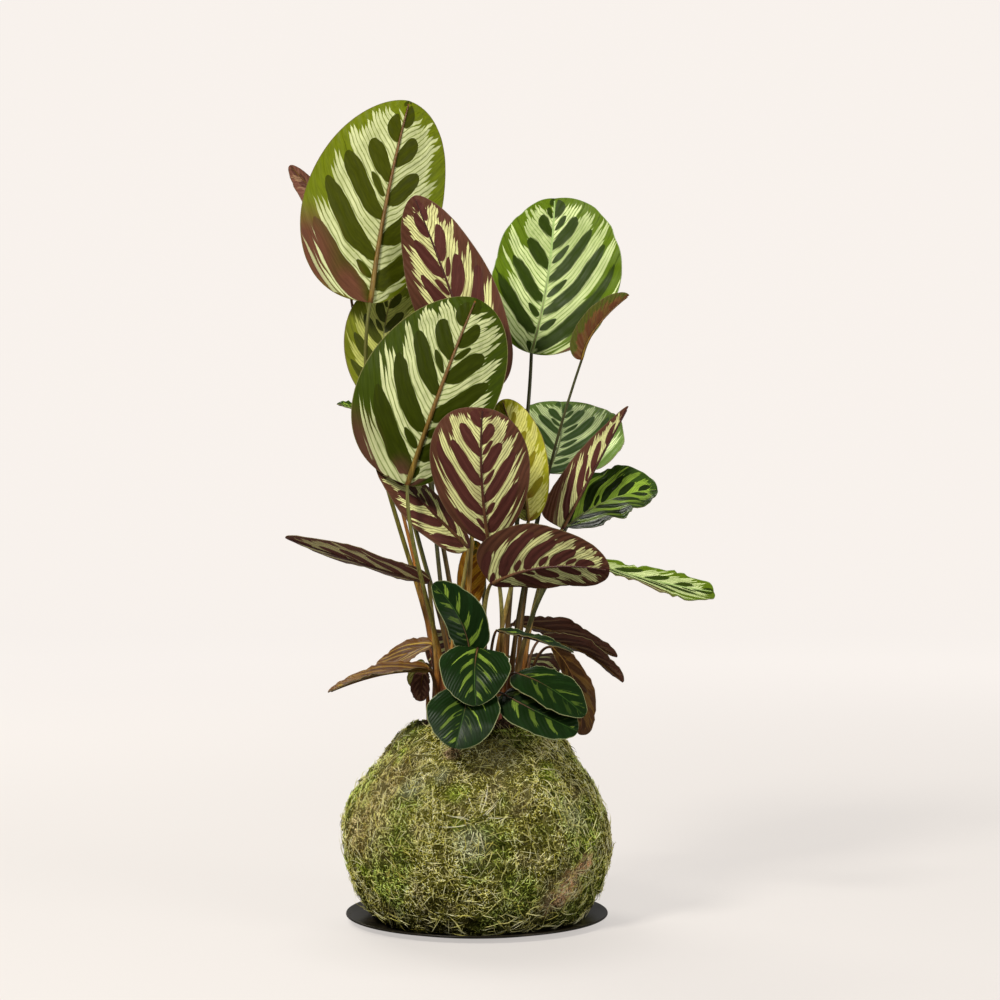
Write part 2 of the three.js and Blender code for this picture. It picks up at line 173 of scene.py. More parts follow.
def part_of(place, letter):
    return place_node("SeparateXYZ", {0: place}, output=letter)


def attribute(tree, name):
    return place_node("Attribute", {}, tree, "Fac", attribute_name=name)


def object_place(tree):
    return place_node("TexCoord", {}, tree, "Object")


def distance_from(place, centre):
    return place_node("VectorMath", {0: place, 1: centre}, output="Value", operation="DISTANCE")


def grain(place, scale, detail, roughness=0.5):
    inputs = {"Vector": place, "Scale": scale, "Detail": detail, "Roughness": roughness}
    return place_node("TexNoise", inputs, output="Fac")


def mix(share, first, second, blend="MIX"):
    inputs = {0: share, 6: first, 7: second}
    return place_node("Mix", inputs, output=2, data_type="RGBA", blend_type=blend)


def grey(value):
    return place_node("CombineColor", {0: value, 1: value, 2: value})


def ramp_of(value, stops):
    colour = place_node("ValToRGB", {0: value})
    elements = colour.socket.node.color_ramp.elements
    while len(elements) < len(stops):
        elements.new(0.5)
    for element, (position, shade) in zip(elements, stops):
        element.position = position
        element.color = (*shade, 1)
    return colour


def bump(height, distance, strength):
    return place_node("Bump", {"Height": height, "Distance": distance, "Strength": strength})


print("helpers for node trees ready")


# %% Helpers for materials and node groups
def new_material(name, roughness=0.5, specular=0.5):
    material = bpy.data.materials.new(name)
    material.use_nodes = True
    shader = material.node_tree.nodes["Principled BSDF"]
    shader.inputs["Roughness"].default_value = roughness
    shader.inputs["Specular IOR Level"].default_value = specular
    return material, material.node_tree, shader.inputs


def new_group(name, inputs, outputs):
    group = bpy.data.node_groups.new(name, "ShaderNodeTree")
    for label, kind, value in inputs:
        socket = group.interface.new_socket(label, in_out="INPUT", socket_type="NodeSocket" + kind)
        socket.default_value = (*value, 1) if kind == "Color" else value
    for label, kind in outputs:
        group.interface.new_socket(label, in_out="OUTPUT", socket_type="NodeSocket" + kind)
    enter = group.nodes.new("NodeGroupInput")
    leave = group.nodes.new("NodeGroupOutput")
    given = {label: Value(enter.outputs[label]) for label, _, _ in inputs}
    return group, given, leave.inputs


def place_group(tree, group, **values):
    """Places a group with its own values, and gives what comes out of it by name."""
    node = tree.nodes.new("ShaderNodeGroup")
    node.node_tree = group
    for label, value in values.items():
        join(value, node.inputs[label.replace("_", " ").capitalize()])
    return {socket.name: Value(socket) for socket in node.outputs}


print("helpers for materials and node groups ready")

# %% [markdown]
# ## The studio
# The plant stands on warm white paper that curves up behind it, so there is no horizon. The paper glows
# a little by itself, which keeps it even, and still takes the lamps' shadows. The soft shadow under the dish
# is partly painted, as a dimmer glow just in front of it. The paper is kept out of reflections and bounced
# light, as black flags do in a studio, so that dark leaves stay dark. A large soft lamp from the upper left
# is the main light, a weaker one fills in from the right, and one behind catches edges. The world is pale
# where the camera sees it, and dim where it lights the plant.

# %% The paper's sweep
PAPER_HALF_WIDTH = 9.0
PAPER_FRONT = -6.0
PAPER_BACK = 3.5
SWEEP_RADIUS = 1.6
SWEEP_STEPS = 24
WALL_HEIGHT = 6.0


def is_vert(part):
    return isinstance(part, bmesh.types.BMVert)


def is_edge(part):
    return isinstance(part, bmesh.types.BMEdge)


def paper_mesh():
    bm = bmesh.new()
    ends = [bm.verts.new((side * PAPER_HALF_WIDTH, PAPER_FRONT, 0)) for side in (-1, 1)]
    edge = bm.edges.new(ends)
    floor = bmesh.ops.extrude_edge_only(bm, edges=[edge])["geom"]
    moved = list(filter(is_vert, floor))
    bmesh.ops.translate(bm, verts=moved, vec=(0, PAPER_BACK - PAPER_FRONT, 0))
    last = [e for e in filter(is_edge, floor) if all(v in moved for v in e.verts)]
    curve = bmesh.ops.spin(
        bm, geom=moved + last, cent=(0, PAPER_BACK, SWEEP_RADIUS), axis=(1, 0, 0), angle=math.pi / 2,
        steps=SWEEP_STEPS,
    )
    wall = bmesh.ops.extrude_edge_only(bm, edges=list(filter(is_edge, curve["geom_last"])))
    bmesh.ops.translate(bm, verts=list(filter(is_vert, wall["geom"])), vec=(0, 0, WALL_HEIGHT))
    bmesh.ops.recalc_face_normals(bm, faces=bm.faces[:])
    for face in bm.faces:
        face.smooth = True
    mesh = bpy.data.meshes.new("paper")
    bm.to_mesh(mesh)
    bm.free()
    return mesh


paper = bpy.data.objects.new("paper", paper_mesh())
scene.collection.objects.link(paper)
paper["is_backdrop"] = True
print("paper faces:", len(paper.data.polygons))

# %% The paper's finish
PAPER = (0.939, 0.887, 0.847)
PAPER_TAKES = 0.22
GLOW_NEAR = 0.635
GLOW_FAR = 0.905
# Painted shadow in front of the dish: its glow, its centre, and the distances where it ends and where it is
# full.
PAINTED_SHADOW_GLOW = 0.545
# In metres from the plant: where the glow starts to grow and where it is full.
GLOW_GROWS = (0.3, 3.0)
PAINTED_SHADOW_CENTRE = (0, -0.09, 0)
PAINTED_SHADOW_ENDS = 0.16
PAINTED_SHADOW_FULL = 0.05


def dimmed(colour, share):
    return tuple(share * channel for channel in colour)


def paper_finish():
    material, tree, sockets = new_material("warm_white_paper", roughness=0.9, specular=0.1)
    join(dimmed(PAPER, PAPER_TAKES), sockets["Base Color"])
    place = object_place(tree)
    far = soft_step(distance_from(place, (0, 0, 0)), *GLOW_GROWS)
    glow = mix(far, dimmed(PAPER, GLOW_NEAR), dimmed(PAPER, GLOW_FAR))
    # Painted shadow: the glow is weaker just in front of the dish, where the plant keeps the light off.
    under = soft_step(distance_from(place, PAINTED_SHADOW_CENTRE), PAINTED_SHADOW_ENDS, PAINTED_SHADOW_FULL)
    glow = mix(under, glow, dimmed(PAPER, PAINTED_SHADOW_GLOW))
    join(glow, sockets["Emission Color"])
    sockets["Emission Strength"].default_value = 1.0
    return material


paper.data.materials.append(paper_finish())
paper.visible_glossy = False
paper.visible_diffuse = False
print("paper finish:", paper.data.materials[0].name)

# %% Lamps and world
WORLD_COLOUR = (1, 0.98, 0.94)
WORLD_LIGHT = 0.28
# Each lamp's place and aim in metres, its size, its power in watts and its colour.
LAMPS = {
    "key_lamp": ((-1.2, -1.6, 2.0), (0, 0, 0.3), 0.55, 80, (1, 0.97, 0.90)),
    "fill_lamp": ((1.9, -1.4, 0.8), (0, 0, 0.3), 1.2, 29, (1, 0.98, 0.96)),
    "back_lamp": ((-0.7, 1.3, 1.6), (0, 0, 0.4), 0.8, 22, (1, 0.98, 0.92)),
}


def soft_lamp(name, place, aim, size, power, colour):
    light = bpy.data.lights.new(name, "AREA")
    light.size = size
    light.energy = power
    light.color = colour
    lamp = bpy.data.objects.new(name, light)
    lamp.location = place
    lamp.rotation_euler = (Vector(aim) - Vector(place)).to_track_quat("-Z", "Y").to_euler()
    scene.collection.objects.link(lamp)


def studio_world():
    world = bpy.data.worlds.new("studio")
    world.use_nodes = True
    tree = world.node_tree
    light = tree.nodes["Background"]
    join(WORLD_COLOUR, light.inputs["Color"])
    join(WORLD_LIGHT, light.inputs["Strength"])
    seen = place_node("Background", {"Color": PAPER}, tree)
    from_camera = place_node("LightPath", {}, tree, "Is Camera Ray")
    either = place_node("MixShader", {0: from_camera, 1: Value(light.outputs[0]), 2: seen})
    join(either, tree.nodes["World Output"].inputs[0])
    scene.world = world


for name, facts in LAMPS.items():
    soft_lamp(name, *facts)
studio_world()
print("studio lamps:", ", ".join(LAMPS))

# %% [markdown]
# ## The leaf pattern
# A peacock plant's leaf looks as if a feather were painted on it: dark ovals stand in pairs along the midrib,
# pale ground with fine dark lines lies between them, and the pale ground frays into fingers before a plain
# margin. The side veins leave the midrib and sweep towards the tip, and everything follows them.
# The pattern is worked out in two coordinates that each leaf carries in its UV map: how far across the blade,
# and how far along it. Bending those into a vein coordinate first makes every mark follow the veins.
# It is one node group, so that each kind of leaf only chooses its own colours and proportions.

# %% The pattern's coordinates
VEIN_LEAN = 0.95
VEIN_CURVE = 0.9
LEAN_AT_FOOT = 0.62
LEAN_GAIN = 0.60
VEIN_WANDER = 0.06
# How far the ovals of one half stand ahead of the other half's, in steps.
HALF_SHIFT = 0.42
LEAF_INPUTS = [
    ("Ground", "Color", (0.58, 0.66, 0.36)), ("Margin", "Color", (0.10, 0.20, 0.03)),
    ("Blotch", "Color", (0.05, 0.11, 0.02)), ("Flush", "Color", (0.14, 0.04, 0.03)),
    ("Line", "Color", (0.20, 0.28, 0.08)), ("Rib", "Color", (0.20, 0.28, 0.10)),
    ("Edge", "Color", (0.30, 0.30, 0.12)), ("Pairs", "Float", 5.0), ("Blotch width", "Float", 0.31),
    ("Blotch length", "Float", 0.66), ("Root", "Float", 0.03), ("Reach", "Float", 0.80),
    ("Fraying", "Float", 0.5), ("Swell", "Float", 0.17), ("Inner gap", "Float", 0.0),
    ("Lines", "Float", 0.7), ("Fading", "Float", 0.1), ("Rib width", "Float", 0.7),
    ("Softness", "Float", 0.015), ("Tip margin", "Float", 0.05),
]


def random_value(x, y, z):
    return place_node("TexWhiteNoise", {"Vector": combine(x, y, z)}, output="Value")


def dome(value):
    """Half a circle over -1 to 1, and nothing outside."""
    return calc("SQRT", calc("MAXIMUM", 1.0 - value * value, 0.0))


def vein_place(tree, given):
    """The coordinates of a point, among them where on the midrib its side vein starts."""
    uv = place_node("UVMap", {}, tree, uv_map="leaf")
    spot = SimpleNamespace(side=part_of(uv, "X") * 2.0 - 1.0, along=part_of(uv, "Y"))
    spot.across = abs(spot.side)
    spot.half = spot.side > 0.0
    spot.half_width = attribute(tree, "half_width")
    spot.flush = attribute(tree, "flush")
    # Rounded, because white noise needs exactly the same number all over a leaf.
    spot.variety = round(attribute(tree, "variety") * 100.0) / 100.0
    # A side vein leans towards the tip, more so further out and nearer the tip.
    out = spot.across * attribute(tree, "breadth")
    lean = out * (out * VEIN_CURVE + VEIN_LEAN)
    pull = spot.along * LEAN_GAIN + LEAN_AT_FOOT
    spot.start = spot.along - lean * pull
    loose = grain(combine(spot.side, spot.along, spot.variety), 2.6, 2)
    spot.start += (loose - 0.5) * VEIN_WANDER
    shift = spot.half * HALF_SHIFT + spot.variety
    spot.steps = spot.start * given["Pairs"] + shift
    fine = combine(spot.start * 60.0, spot.across * 3.5, spot.half)
    spot.hair = grain(fine, 1, 2) - 0.5
    return spot


print("the pattern's inputs:", len(LEAF_INPUTS))

# %% The dark ovals
SMALL_PLACE = 0.15
SMALL_REACH = 0.12
SMALL_RARITY = 0.62


def large_ovals(given, spot):
    """One oval for each step along the midrib, pointed at the midrib and round at its far end."""
    cell = math.floor(spot.steps)
    middle = spot.steps - cell - 0.5
    chance = random_value(cell, spot.half, spot.variety)
    length = given["Blotch length"] * (chance * 0.3 + 0.85)
    length *= soft_step(spot.start, -0.1, 0.95, 1.35, 0.5)
    reach = (spot.across + given["Root"]) / (length + given["Root"])
    wide = given["Blotch width"] * dome(reach ** 1.25 * 2.0 - 1.0)
    soft = given["Softness"]
    rough = spot.hair * (soft * 3.0 + 0.02)
    oval = soft_step(wide - abs(middle) + rough, soft * -1.0, soft)
    return oval * soft_step(spot.start, -0.18, -0.06)


def small_ovals(spot):
    """Small ovals beside the midrib, between some of the large ones."""
    border = round(spot.steps)
    off = abs(spot.steps - border)
    bead = dome((spot.across - SMALL_PLACE) / SMALL_REACH)
    small = soft_step(bead * 0.15 - off, 0.0, 0.03)
    luck = random_value(border + 31.0, spot.half, spot.variety)
    return small * (luck > SMALL_RARITY)


print("share of places with a small oval:", round(1 - SMALL_RARITY, 2))


# %% The pale ground and its lines
FINGERS_PER_STEP = 7.0


def pale_ground(given, spot):
    """Pale bands between the ovals, which end in short tapering fingers, and the fine dark lines in them."""
    fingers = spot.steps * FINGERS_PER_STEP
    number = math.floor(fingers)
    beside = abs(fingers - number - 0.5)
    own = random_value(number, spot.half, spot.variety) - 0.5
    swell = calc("COSINE", spot.steps * math.tau)
    limit = own * given["Fraying"] * 0.6 + given["Reach"] + swell * given["Swell"]
    taper = soft_step(limit - spot.across, 0.0, 0.25, -0.08, 0.62)
    ahead = 1.0 - given["Tip margin"] - spot.along + own * 0.05
    taper = calc("MINIMUM", taper, soft_step(ahead, 0.0, 0.07, -0.08, 0.62))
    beside += spot.hair * 0.12
    pale = soft_step(taper - beside, -0.06, 0.06)
    pale *= soft_step(spot.start, -0.16, -0.06)
    band = random_value(round(spot.steps) + 11.0, spot.half, spot.variety)
    pale *= 1.0 - band * given["Fading"]
    gap = given["Inner gap"]
    pale *= soft_step(spot.across, gap - 0.04, gap + 0.04)
    dotted = combine(fingers, spot.across * 26.0, 2.0)
    thin = soft_step(beside, 0.28, 0.46) * given["Lines"]
    thin *= soft_step(grain(dotted, 1, 1), 0.22, 0.42)
    return pale, thin * pale


print("fingers for each oval:", FINGERS_PER_STEP)


# %% The node group
# The midrib's colour ends just before the tip.
RIB_SHOWS_TO = 0.985


def leaf_colours(given, spot, pale, thin, blotch, rib):
    """Colours, from the ground up: margin, pale ground, lines, ovals, midrib and the thin edge."""
    margin = mix(spot.flush, given["Margin"], given["Flush"])
    dark = mix(spot.flush, given["Blotch"], given["Flush"])
    tint = grain(combine(spot.side, spot.along, spot.variety), 3.0, 4)
    ground = mix(soft_step(tint, 0.40, 0.70, 0.0, 0.35), given["Ground"], margin)
    colour = mix(pale, margin, ground)
    colour = mix(thin, colour, given["Line"])
    colour = mix(blotch, colour, dark)
    colour = mix(rib, colour, given["Rib"])
    from_edge = (1.0 - spot.across) * spot.half_width
    colour = mix(soft_step(from_edge, 0.75, 0.3), colour, given["Edge"])
    streaks = combine(spot.start * 90.0, spot.across * 9.0, spot.side)
    shade = soft_step(grain(streaks, 1, 3), 0.25, 0.75, 0.82, 1.12)
    return mix(1.0, colour, grey(shade), "MULTIPLY")


def build_leaf_pattern():
    outputs = [("Color", "Color"), ("Height", "Float")]
    group, given, result = new_group("Feathered leaf", LEAF_INPUTS, outputs)
    spot = vein_place(group, given)
    blotch = calc("MAXIMUM", large_ovals(given, spot), small_ovals(spot))
    pale, thin = pale_ground(given, spot)
    from_rib = spot.across * spot.half_width
    rib_width = given["Rib width"] * (1.5 - spot.along)
    rib = soft_step(from_rib, rib_width, rib_width * 0.6)
    rib *= spot.along < RIB_SHOWS_TO
    join(leaf_colours(given, spot, pale, thin, blotch, rib), result["Color"])
    # The blade is quilted along its veins.
    wave = calc("SINE", spot.steps * (math.pi * 6))
    quilt = (wave * 0.5 + 0.5) * soft_step(spot.across, 0.0, 0.25)
    height = spot.hair * 0.35 + quilt
    join(height - rib * 0.8, result["Height"])
    return group


leaf_pattern = build_leaf_pattern()
print("leaf pattern:", len(leaf_pattern.nodes), "nodes")

# %% [markdown]
# ## Leaf finishes
# Each kind of leaf has an upper and an under finish. The upper side is green with a soft gloss. The underside
# is plum. Where light shines through a blade from behind it looks green instead, and that glow is painted
# into the underside's colour. A few finishes are lighter or darker copies, with painted light or painted
# shade.
# Young leaves are almost all dark green and shine like wax. One shader in each finish takes the pattern's
# colour and height.

# %% Colours and proportions of each finish
CREAM_GREEN = (0.54, 0.57, 0.29)
PALE_EDGE = (0.22, 0.24, 0.11)
RIB_BROWN = (0.17, 0.075, 0.015)
PLUM = (0.092, 0.034, 0.018)
DARK_PLUM = (0.080, 0.023, 0.017)
MAROON = (0.050, 0.018, 0.010)
WARM_BROWN = (0.185, 0.076, 0.050)
BROWN_RIB = (0.10, 0.04, 0.02)
PLUM_PATTERN = dict(pairs=4.6, blotch_width=0.33, lines=0.9, reach=0.79, swell=0.12)
BROWN_PATTERN = dict(fraying=0.9, blotch_width=0.34, root=0.5, softness=0.08)

FINISHES = {
    # Painted backlight: the green of these two undersides is light shining through the blade from behind.
    "painted_backlight_under": dict(
        ground=CREAM_GREEN, margin=(0.120, 0.150, 0.004), blotch=(0.042, 0.050, 0.001),
        flush=(0.110, 0.042, 0.022), line=(0.13, 0.16, 0.02), rib=RIB_BROWN, edge=(0.12, 0.10, 0.02),
        lines=0.85, rib_width=1.6, reach=0.83, swell=0.11, blotch_width=0.33,
    ),
    "painted_backlight_green_under": dict(
        ground=CREAM_GREEN, margin=(0.034, 0.052, 0.002), blotch=(0.026, 0.035, 0.001),
        flush=(0.085, 0.038, 0.022), line=(0.11, 0.15, 0.02), rib=RIB_BROWN, edge=(0.16, 0.15, 0.05),
        lines=0.85, rib_width=1.6, reach=0.82, swell=0.11, blotch_width=0.34,
    ),
    "plum_under": dict(
        ground=(0.74, 0.74, 0.32), margin=PLUM, blotch=DARK_PLUM, line=(0.15, 0.11, 0.03),
        rib=(0.07, 0.02, 0.012), edge=(0.13, 0.08, 0.04), **PLUM_PATTERN,
    ),
    "brown_under": dict(
        ground=(0.34, 0.20, 0.11), margin=WARM_BROWN, blotch=(0.110, 0.044, 0.030),
        line=(0.05, 0.025, 0.012), rib=BROWN_RIB, edge=(0.16, 0.10, 0.055),
        reach=0.6, fading=0.9, **BROWN_PATTERN,
    ),
    # Painted shade: a darker copy of the brown underside, for the hanging leaf that faces the lamps.
    "painted_shade_umber_under": dict(
        ground=(0.15, 0.085, 0.016), margin=(0.062, 0.027, 0.009), blotch=(0.036, 0.016, 0.006),
        line=(0.04, 0.020, 0.007), rib=BROWN_RIB, edge=(0.13, 0.08, 0.03),
        reach=0.8, fading=0.8, **BROWN_PATTERN,
    ),
    # Painted light: a lighter copy of the plum underside, for a blade seen edge-on in shade.
    "painted_light_plum_under": dict(
        ground=(0.95, 0.86, 0.40), margin=(0.185, 0.070, 0.045), blotch=(0.160, 0.052, 0.038),
        line=(0.20, 0.14, 0.04), rib=(0.12, 0.04, 0.025), edge=(0.18, 0.11, 0.06), **PLUM_PATTERN,
    ),
    "rusty_under": dict(
        ground=(0.40, 0.26, 0.025), margin=(0.105, 0.040, 0.006), blotch=(0.062, 0.022, 0.004),
        line=(0.10, 0.05, 0.010), rib=BROWN_RIB, edge=(0.20, 0.12, 0.05),
        reach=0.8, fading=0.9, pairs=4.0, **BROWN_PATTERN,
    ),
    "russet_under": dict(
        ground=(0.19, 0.075, 0.026), margin=(0.085, 0.090, 0.012), blotch=(0.13, 0.048, 0.018),
        line=(0.10, 0.05, 0.02), rib=BROWN_RIB, edge=(0.12, 0.11, 0.03), reach=0.62, swell=0.04,
        fading=0.3, softness=0.1,
    ),
    "sunny_upper": dict(
        ground=(0.62, 0.70, 0.33), margin=(0.090, 0.145, 0.006), blotch=(0.024, 0.042, 0.003),
        flush=(0.10, 0.03, 0.02), line=(0.15, 0.25, 0.04), rib=(0.30, 0.42, 0.14),
        edge=(0.20, 0.27, 0.10), fraying=0.8, reach=0.80, blotch_length=0.72, pairs=4.7, fading=0.35,
        rib_width=1.4, lines=1.0, blotch_width=0.28, softness=0.05,
    ),
    # Partly painted light: the back leaf's pale upper side, lightened because the leaf above shades it.
    "dusty_painted_light_upper": dict(
        ground=(0.80, 0.95, 0.45), margin=(0.14, 0.23, 0.045), blotch=(0.055, 0.105, 0.022),
        line=(0.14, 0.20, 0.06), rib=(0.28, 0.36, 0.16), edge=(0.24, 0.26, 0.12), fraying=0.6,
        reach=0.84, pairs=4.8, softness=0.05,
    ),
    "deep_upper": dict(
        ground=(0.32, 0.48, 0.05), margin=(0.026, 0.058, 0.004), blotch=(0.010, 0.020, 0.002),
        line=(0.05, 0.10, 0.010), rib=(0.22, 0.34, 0.05), edge=(0.13, 0.19, 0.05), fraying=0.7,
        reach=0.74, blotch_width=0.31, fading=0.4,
    ),
    "young_upper": dict(
        ground=(0.22, 0.32, 0.04), margin=(0.007, 0.021, 0.004), blotch=(0.006, 0.017, 0.003),
        line=(0.03, 0.07, 0.010), rib=(0.035, 0.080, 0.012), edge=PALE_EDGE, fraying=1.0, reach=0.46,
        pairs=4.6, blotch_width=0.33, blotch_length=1.3, root=0.6, inner_gap=0.08, rib_width=0.35, fading=1.0,
        lines=1.0,
    ),
    "young_under": dict(
        ground=(0.08, 0.035, 0.025), margin=MAROON, blotch=MAROON, rib=BROWN_RIB, edge=PALE_EDGE,
    ),
    "yellow_leaf": dict(
        ground=(0.60, 0.57, 0.16), margin=(0.32, 0.31, 0.012), blotch=(0.20, 0.17, 0.006),
        line=(0.30, 0.28, 0.03), rib=(0.26, 0.16, 0.03), edge=(0.26, 0.21, 0.05),
        flush=(0.16, 0.06, 0.012), blotch_width=0.2, reach=0.95, lines=0.8,
    ),
    "olive_leaf": dict(
        ground=(0.62, 0.63, 0.17), margin=(0.18, 0.20, 0.012), blotch=(0.060, 0.070, 0.006),
        line=(0.22, 0.24, 0.04), rib=(0.22, 0.18, 0.05), edge=(0.22, 0.19, 0.06), fraying=0.6,
    ),
    "amber_leaf": dict(
        ground=(0.44, 0.22, 0.015), margin=(0.30, 0.12, 0.008), blotch=(0.20, 0.07, 0.005),
        line=(0.26, 0.11, 0.01), rib=(0.70, 0.42, 0.05), edge=(0.40, 0.20, 0.03),
        flush=(0.03, 0.06, 0.006), blotch_width=0.2, rib_width=1.2,
    ),
}
print("blade finishes planned:", len(FINISHES))

# %% Finishes for the blades
# For each finish: its roughness, its reflections and how strongly its quilting shows.
GLOSS = {"young_upper": 0.37, "deep_upper": 0.38, "sunny_upper": 0.44, "dusty_painted_light_upper": 0.55}
SHINE = {
    "young_upper": 0.06, "deep_upper": 0.16, "sunny_upper": 0.06, "brown_under": 0.04, "rusty_under": 0.04,
    "painted_shade_umber_under": 0.04, "painted_backlight_under": 0.05, "painted_backlight_green_under": 0.04,
}
QUILTING = {"young_upper": 0.35, "brown_under": 0.5, "painted_shade_umber_under": 0.5, "rusty_under": 0.5}
PLAIN_GLOSS = 0.46
PLAIN_SHINE = 0.12
PLAIN_QUILTING = 0.7


def build_leaf_film():
    """A thin film of wax and dust, which makes the gloss uneven."""
    inputs = [("Smoothest", "Float", 0.40), ("Roughest", "Float", 0.56)]
    group, given, result = new_group("Leaf film", inputs, [("Roughness", "Float")])
    film = grain(object_place(group), 90, 3)
    uneven = soft_step(film, 0.3, 0.7, given["Smoothest"], given["Roughest"])
    join(uneven, result["Roughness"])
    return group


def blade_finish(name, values):
    material, tree, sockets = new_material(name, specular=SHINE.get(name, PLAIN_SHINE))
    made = place_group(tree, leaf_pattern, **values)
    join(made["Color"], sockets["Base Color"])
    quilting = QUILTING.get(name, PLAIN_QUILTING)
    join(bump(made["Height"], 0.0004, quilting), sockets["Normal"])
    gloss = GLOSS.get(name, PLAIN_GLOSS)
    film = place_group(tree, leaf_film, smoothest=gloss - 0.06, roughest=gloss + 0.10)
    join(film["Roughness"], sockets["Roughness"])
    return material


leaf_film = build_leaf_film()
blade_finishes = {name: blade_finish(name, values) for name, values in FINISHES.items()}
print("blade finishes:", ", ".join(blade_finishes))

# %% [markdown]
# ## Stem finishes
# A stem changes along its length: pink and orange where it leaves the soil, olive higher up, and grey-green
# near the blade. Fine streaks run along it, from one node group for all stems. The midrib goes on under the
# blade in a colour of its own, and the cut edge of a blade is thin and brown.

# %% Streaks along the stems
STREAK_STRETCH = (900, 900, 30)


def build_stem_streaks():
    group, given, result = new_group("Stem streaks", [], [("Shade", "Color"), ("Height", "Float")])
    stretched = place_node("Mapping", {"Vector": object_place(group), "Scale": STREAK_STRETCH})
    streaks = grain(stretched, 1, 3)
    join(grey(soft_step(streaks, 0.25, 0.75, 0.55, 1.3)), result["Shade"])
    join(streaks, result["Height"])
    return group


stem_streaks = build_stem_streaks()
print("stem streaks:", len(stem_streaks.nodes), "nodes")

# %% Finishes for the stems, midribs and cut edges
PINK = (0.26, 0.075, 0.045)
ORANGE = (0.34, 0.125, 0.022)
STEM_OLIVE = (0.15, 0.125, 0.020)
GREY_GREEN = (0.13, 0.13, 0.030)
# Colours along a stem from its foot at 0 to its neck at 1, and along a midrib from the neck to the tip.
STEM_STOPS = {
    "stem_green": [(0.0, PINK), (0.16, ORANGE), (0.38, STEM_OLIVE), (1.0, GREY_GREEN)],
    "stem_dark": [
        (0.0, ORANGE), (0.20, (0.14, 0.075, 0.022)), (0.5, (0.060, 0.058, 0.016)), (1.0, (0.05, 0.05, 0.014)),
    ],
    "stem_brown": [(0.0, PINK), (0.25, ORANGE), (0.55, (0.12, 0.055, 0.018)), (1.0, (0.10, 0.04, 0.015))],
    "stem_pale": [(0.0, PINK), (0.22, ORANGE), (0.6, (0.26, 0.22, 0.06)), (1.0, (0.20, 0.14, 0.04))],
    "rib_brown": [(0.0, (0.18, 0.115, 0.018)), (0.6, (0.15, 0.065, 0.009)), (1.0, (0.10, 0.045, 0.008))],
    "rib_plum": [(0.0, (0.15, 0.07, 0.025)), (0.4, (0.07, 0.02, 0.012)), (1.0, (0.05, 0.016, 0.012))],
    "rib_green": [(0.0, GREY_GREEN), (0.6, (0.24, 0.29, 0.10)), (1.0, (0.28, 0.34, 0.13))],
}


def stem_finish(name, stops):
    material, tree, sockets = new_material(name, roughness=0.42, specular=0.25)
    colour = ramp_of(attribute(tree, "along"), stops)
    streaks = place_group(tree, stem_streaks)
    join(mix(1.0, colour, streaks["Shade"], "MULTIPLY"), sockets["Base Color"])
    join(bump(streaks["Height"], 0.0003, 0.6), sockets["Normal"])
    return material


def cut_edge_finish():
    material, tree, sockets = new_material("leaf_edge", roughness=0.5, specular=0.2)
    blotches = grain(object_place(tree), 160, 3)
    colour = mix(blotches, (0.06, 0.045, 0.015), (0.20, 0.15, 0.06))
    join(colour, sockets["Base Color"])
    return material


stem_finishes = {name: stem_finish(name, stops) for name, stops in STEM_STOPS.items()}
edge_finish = cut_edge_finish()
print("stem finishes:", ", ".join(stem_finishes))

# %% [markdown]
# ## The leaves
# Every leaf and its stem is one piece, as it grew. The table has a row for each leaf, with its look and the
# same measures as the solids, in millimetres and degrees: where the stem leaves the soil, where it bends, the
# midrib's neck, middle and tip, the way the upper side faces, the half widths, where each half is widest, the
# fold, the curl, and the height and number of ripples. Three blades are twisted too. Each leaf's place in the
# table gives it a variety, which shifts its pattern.

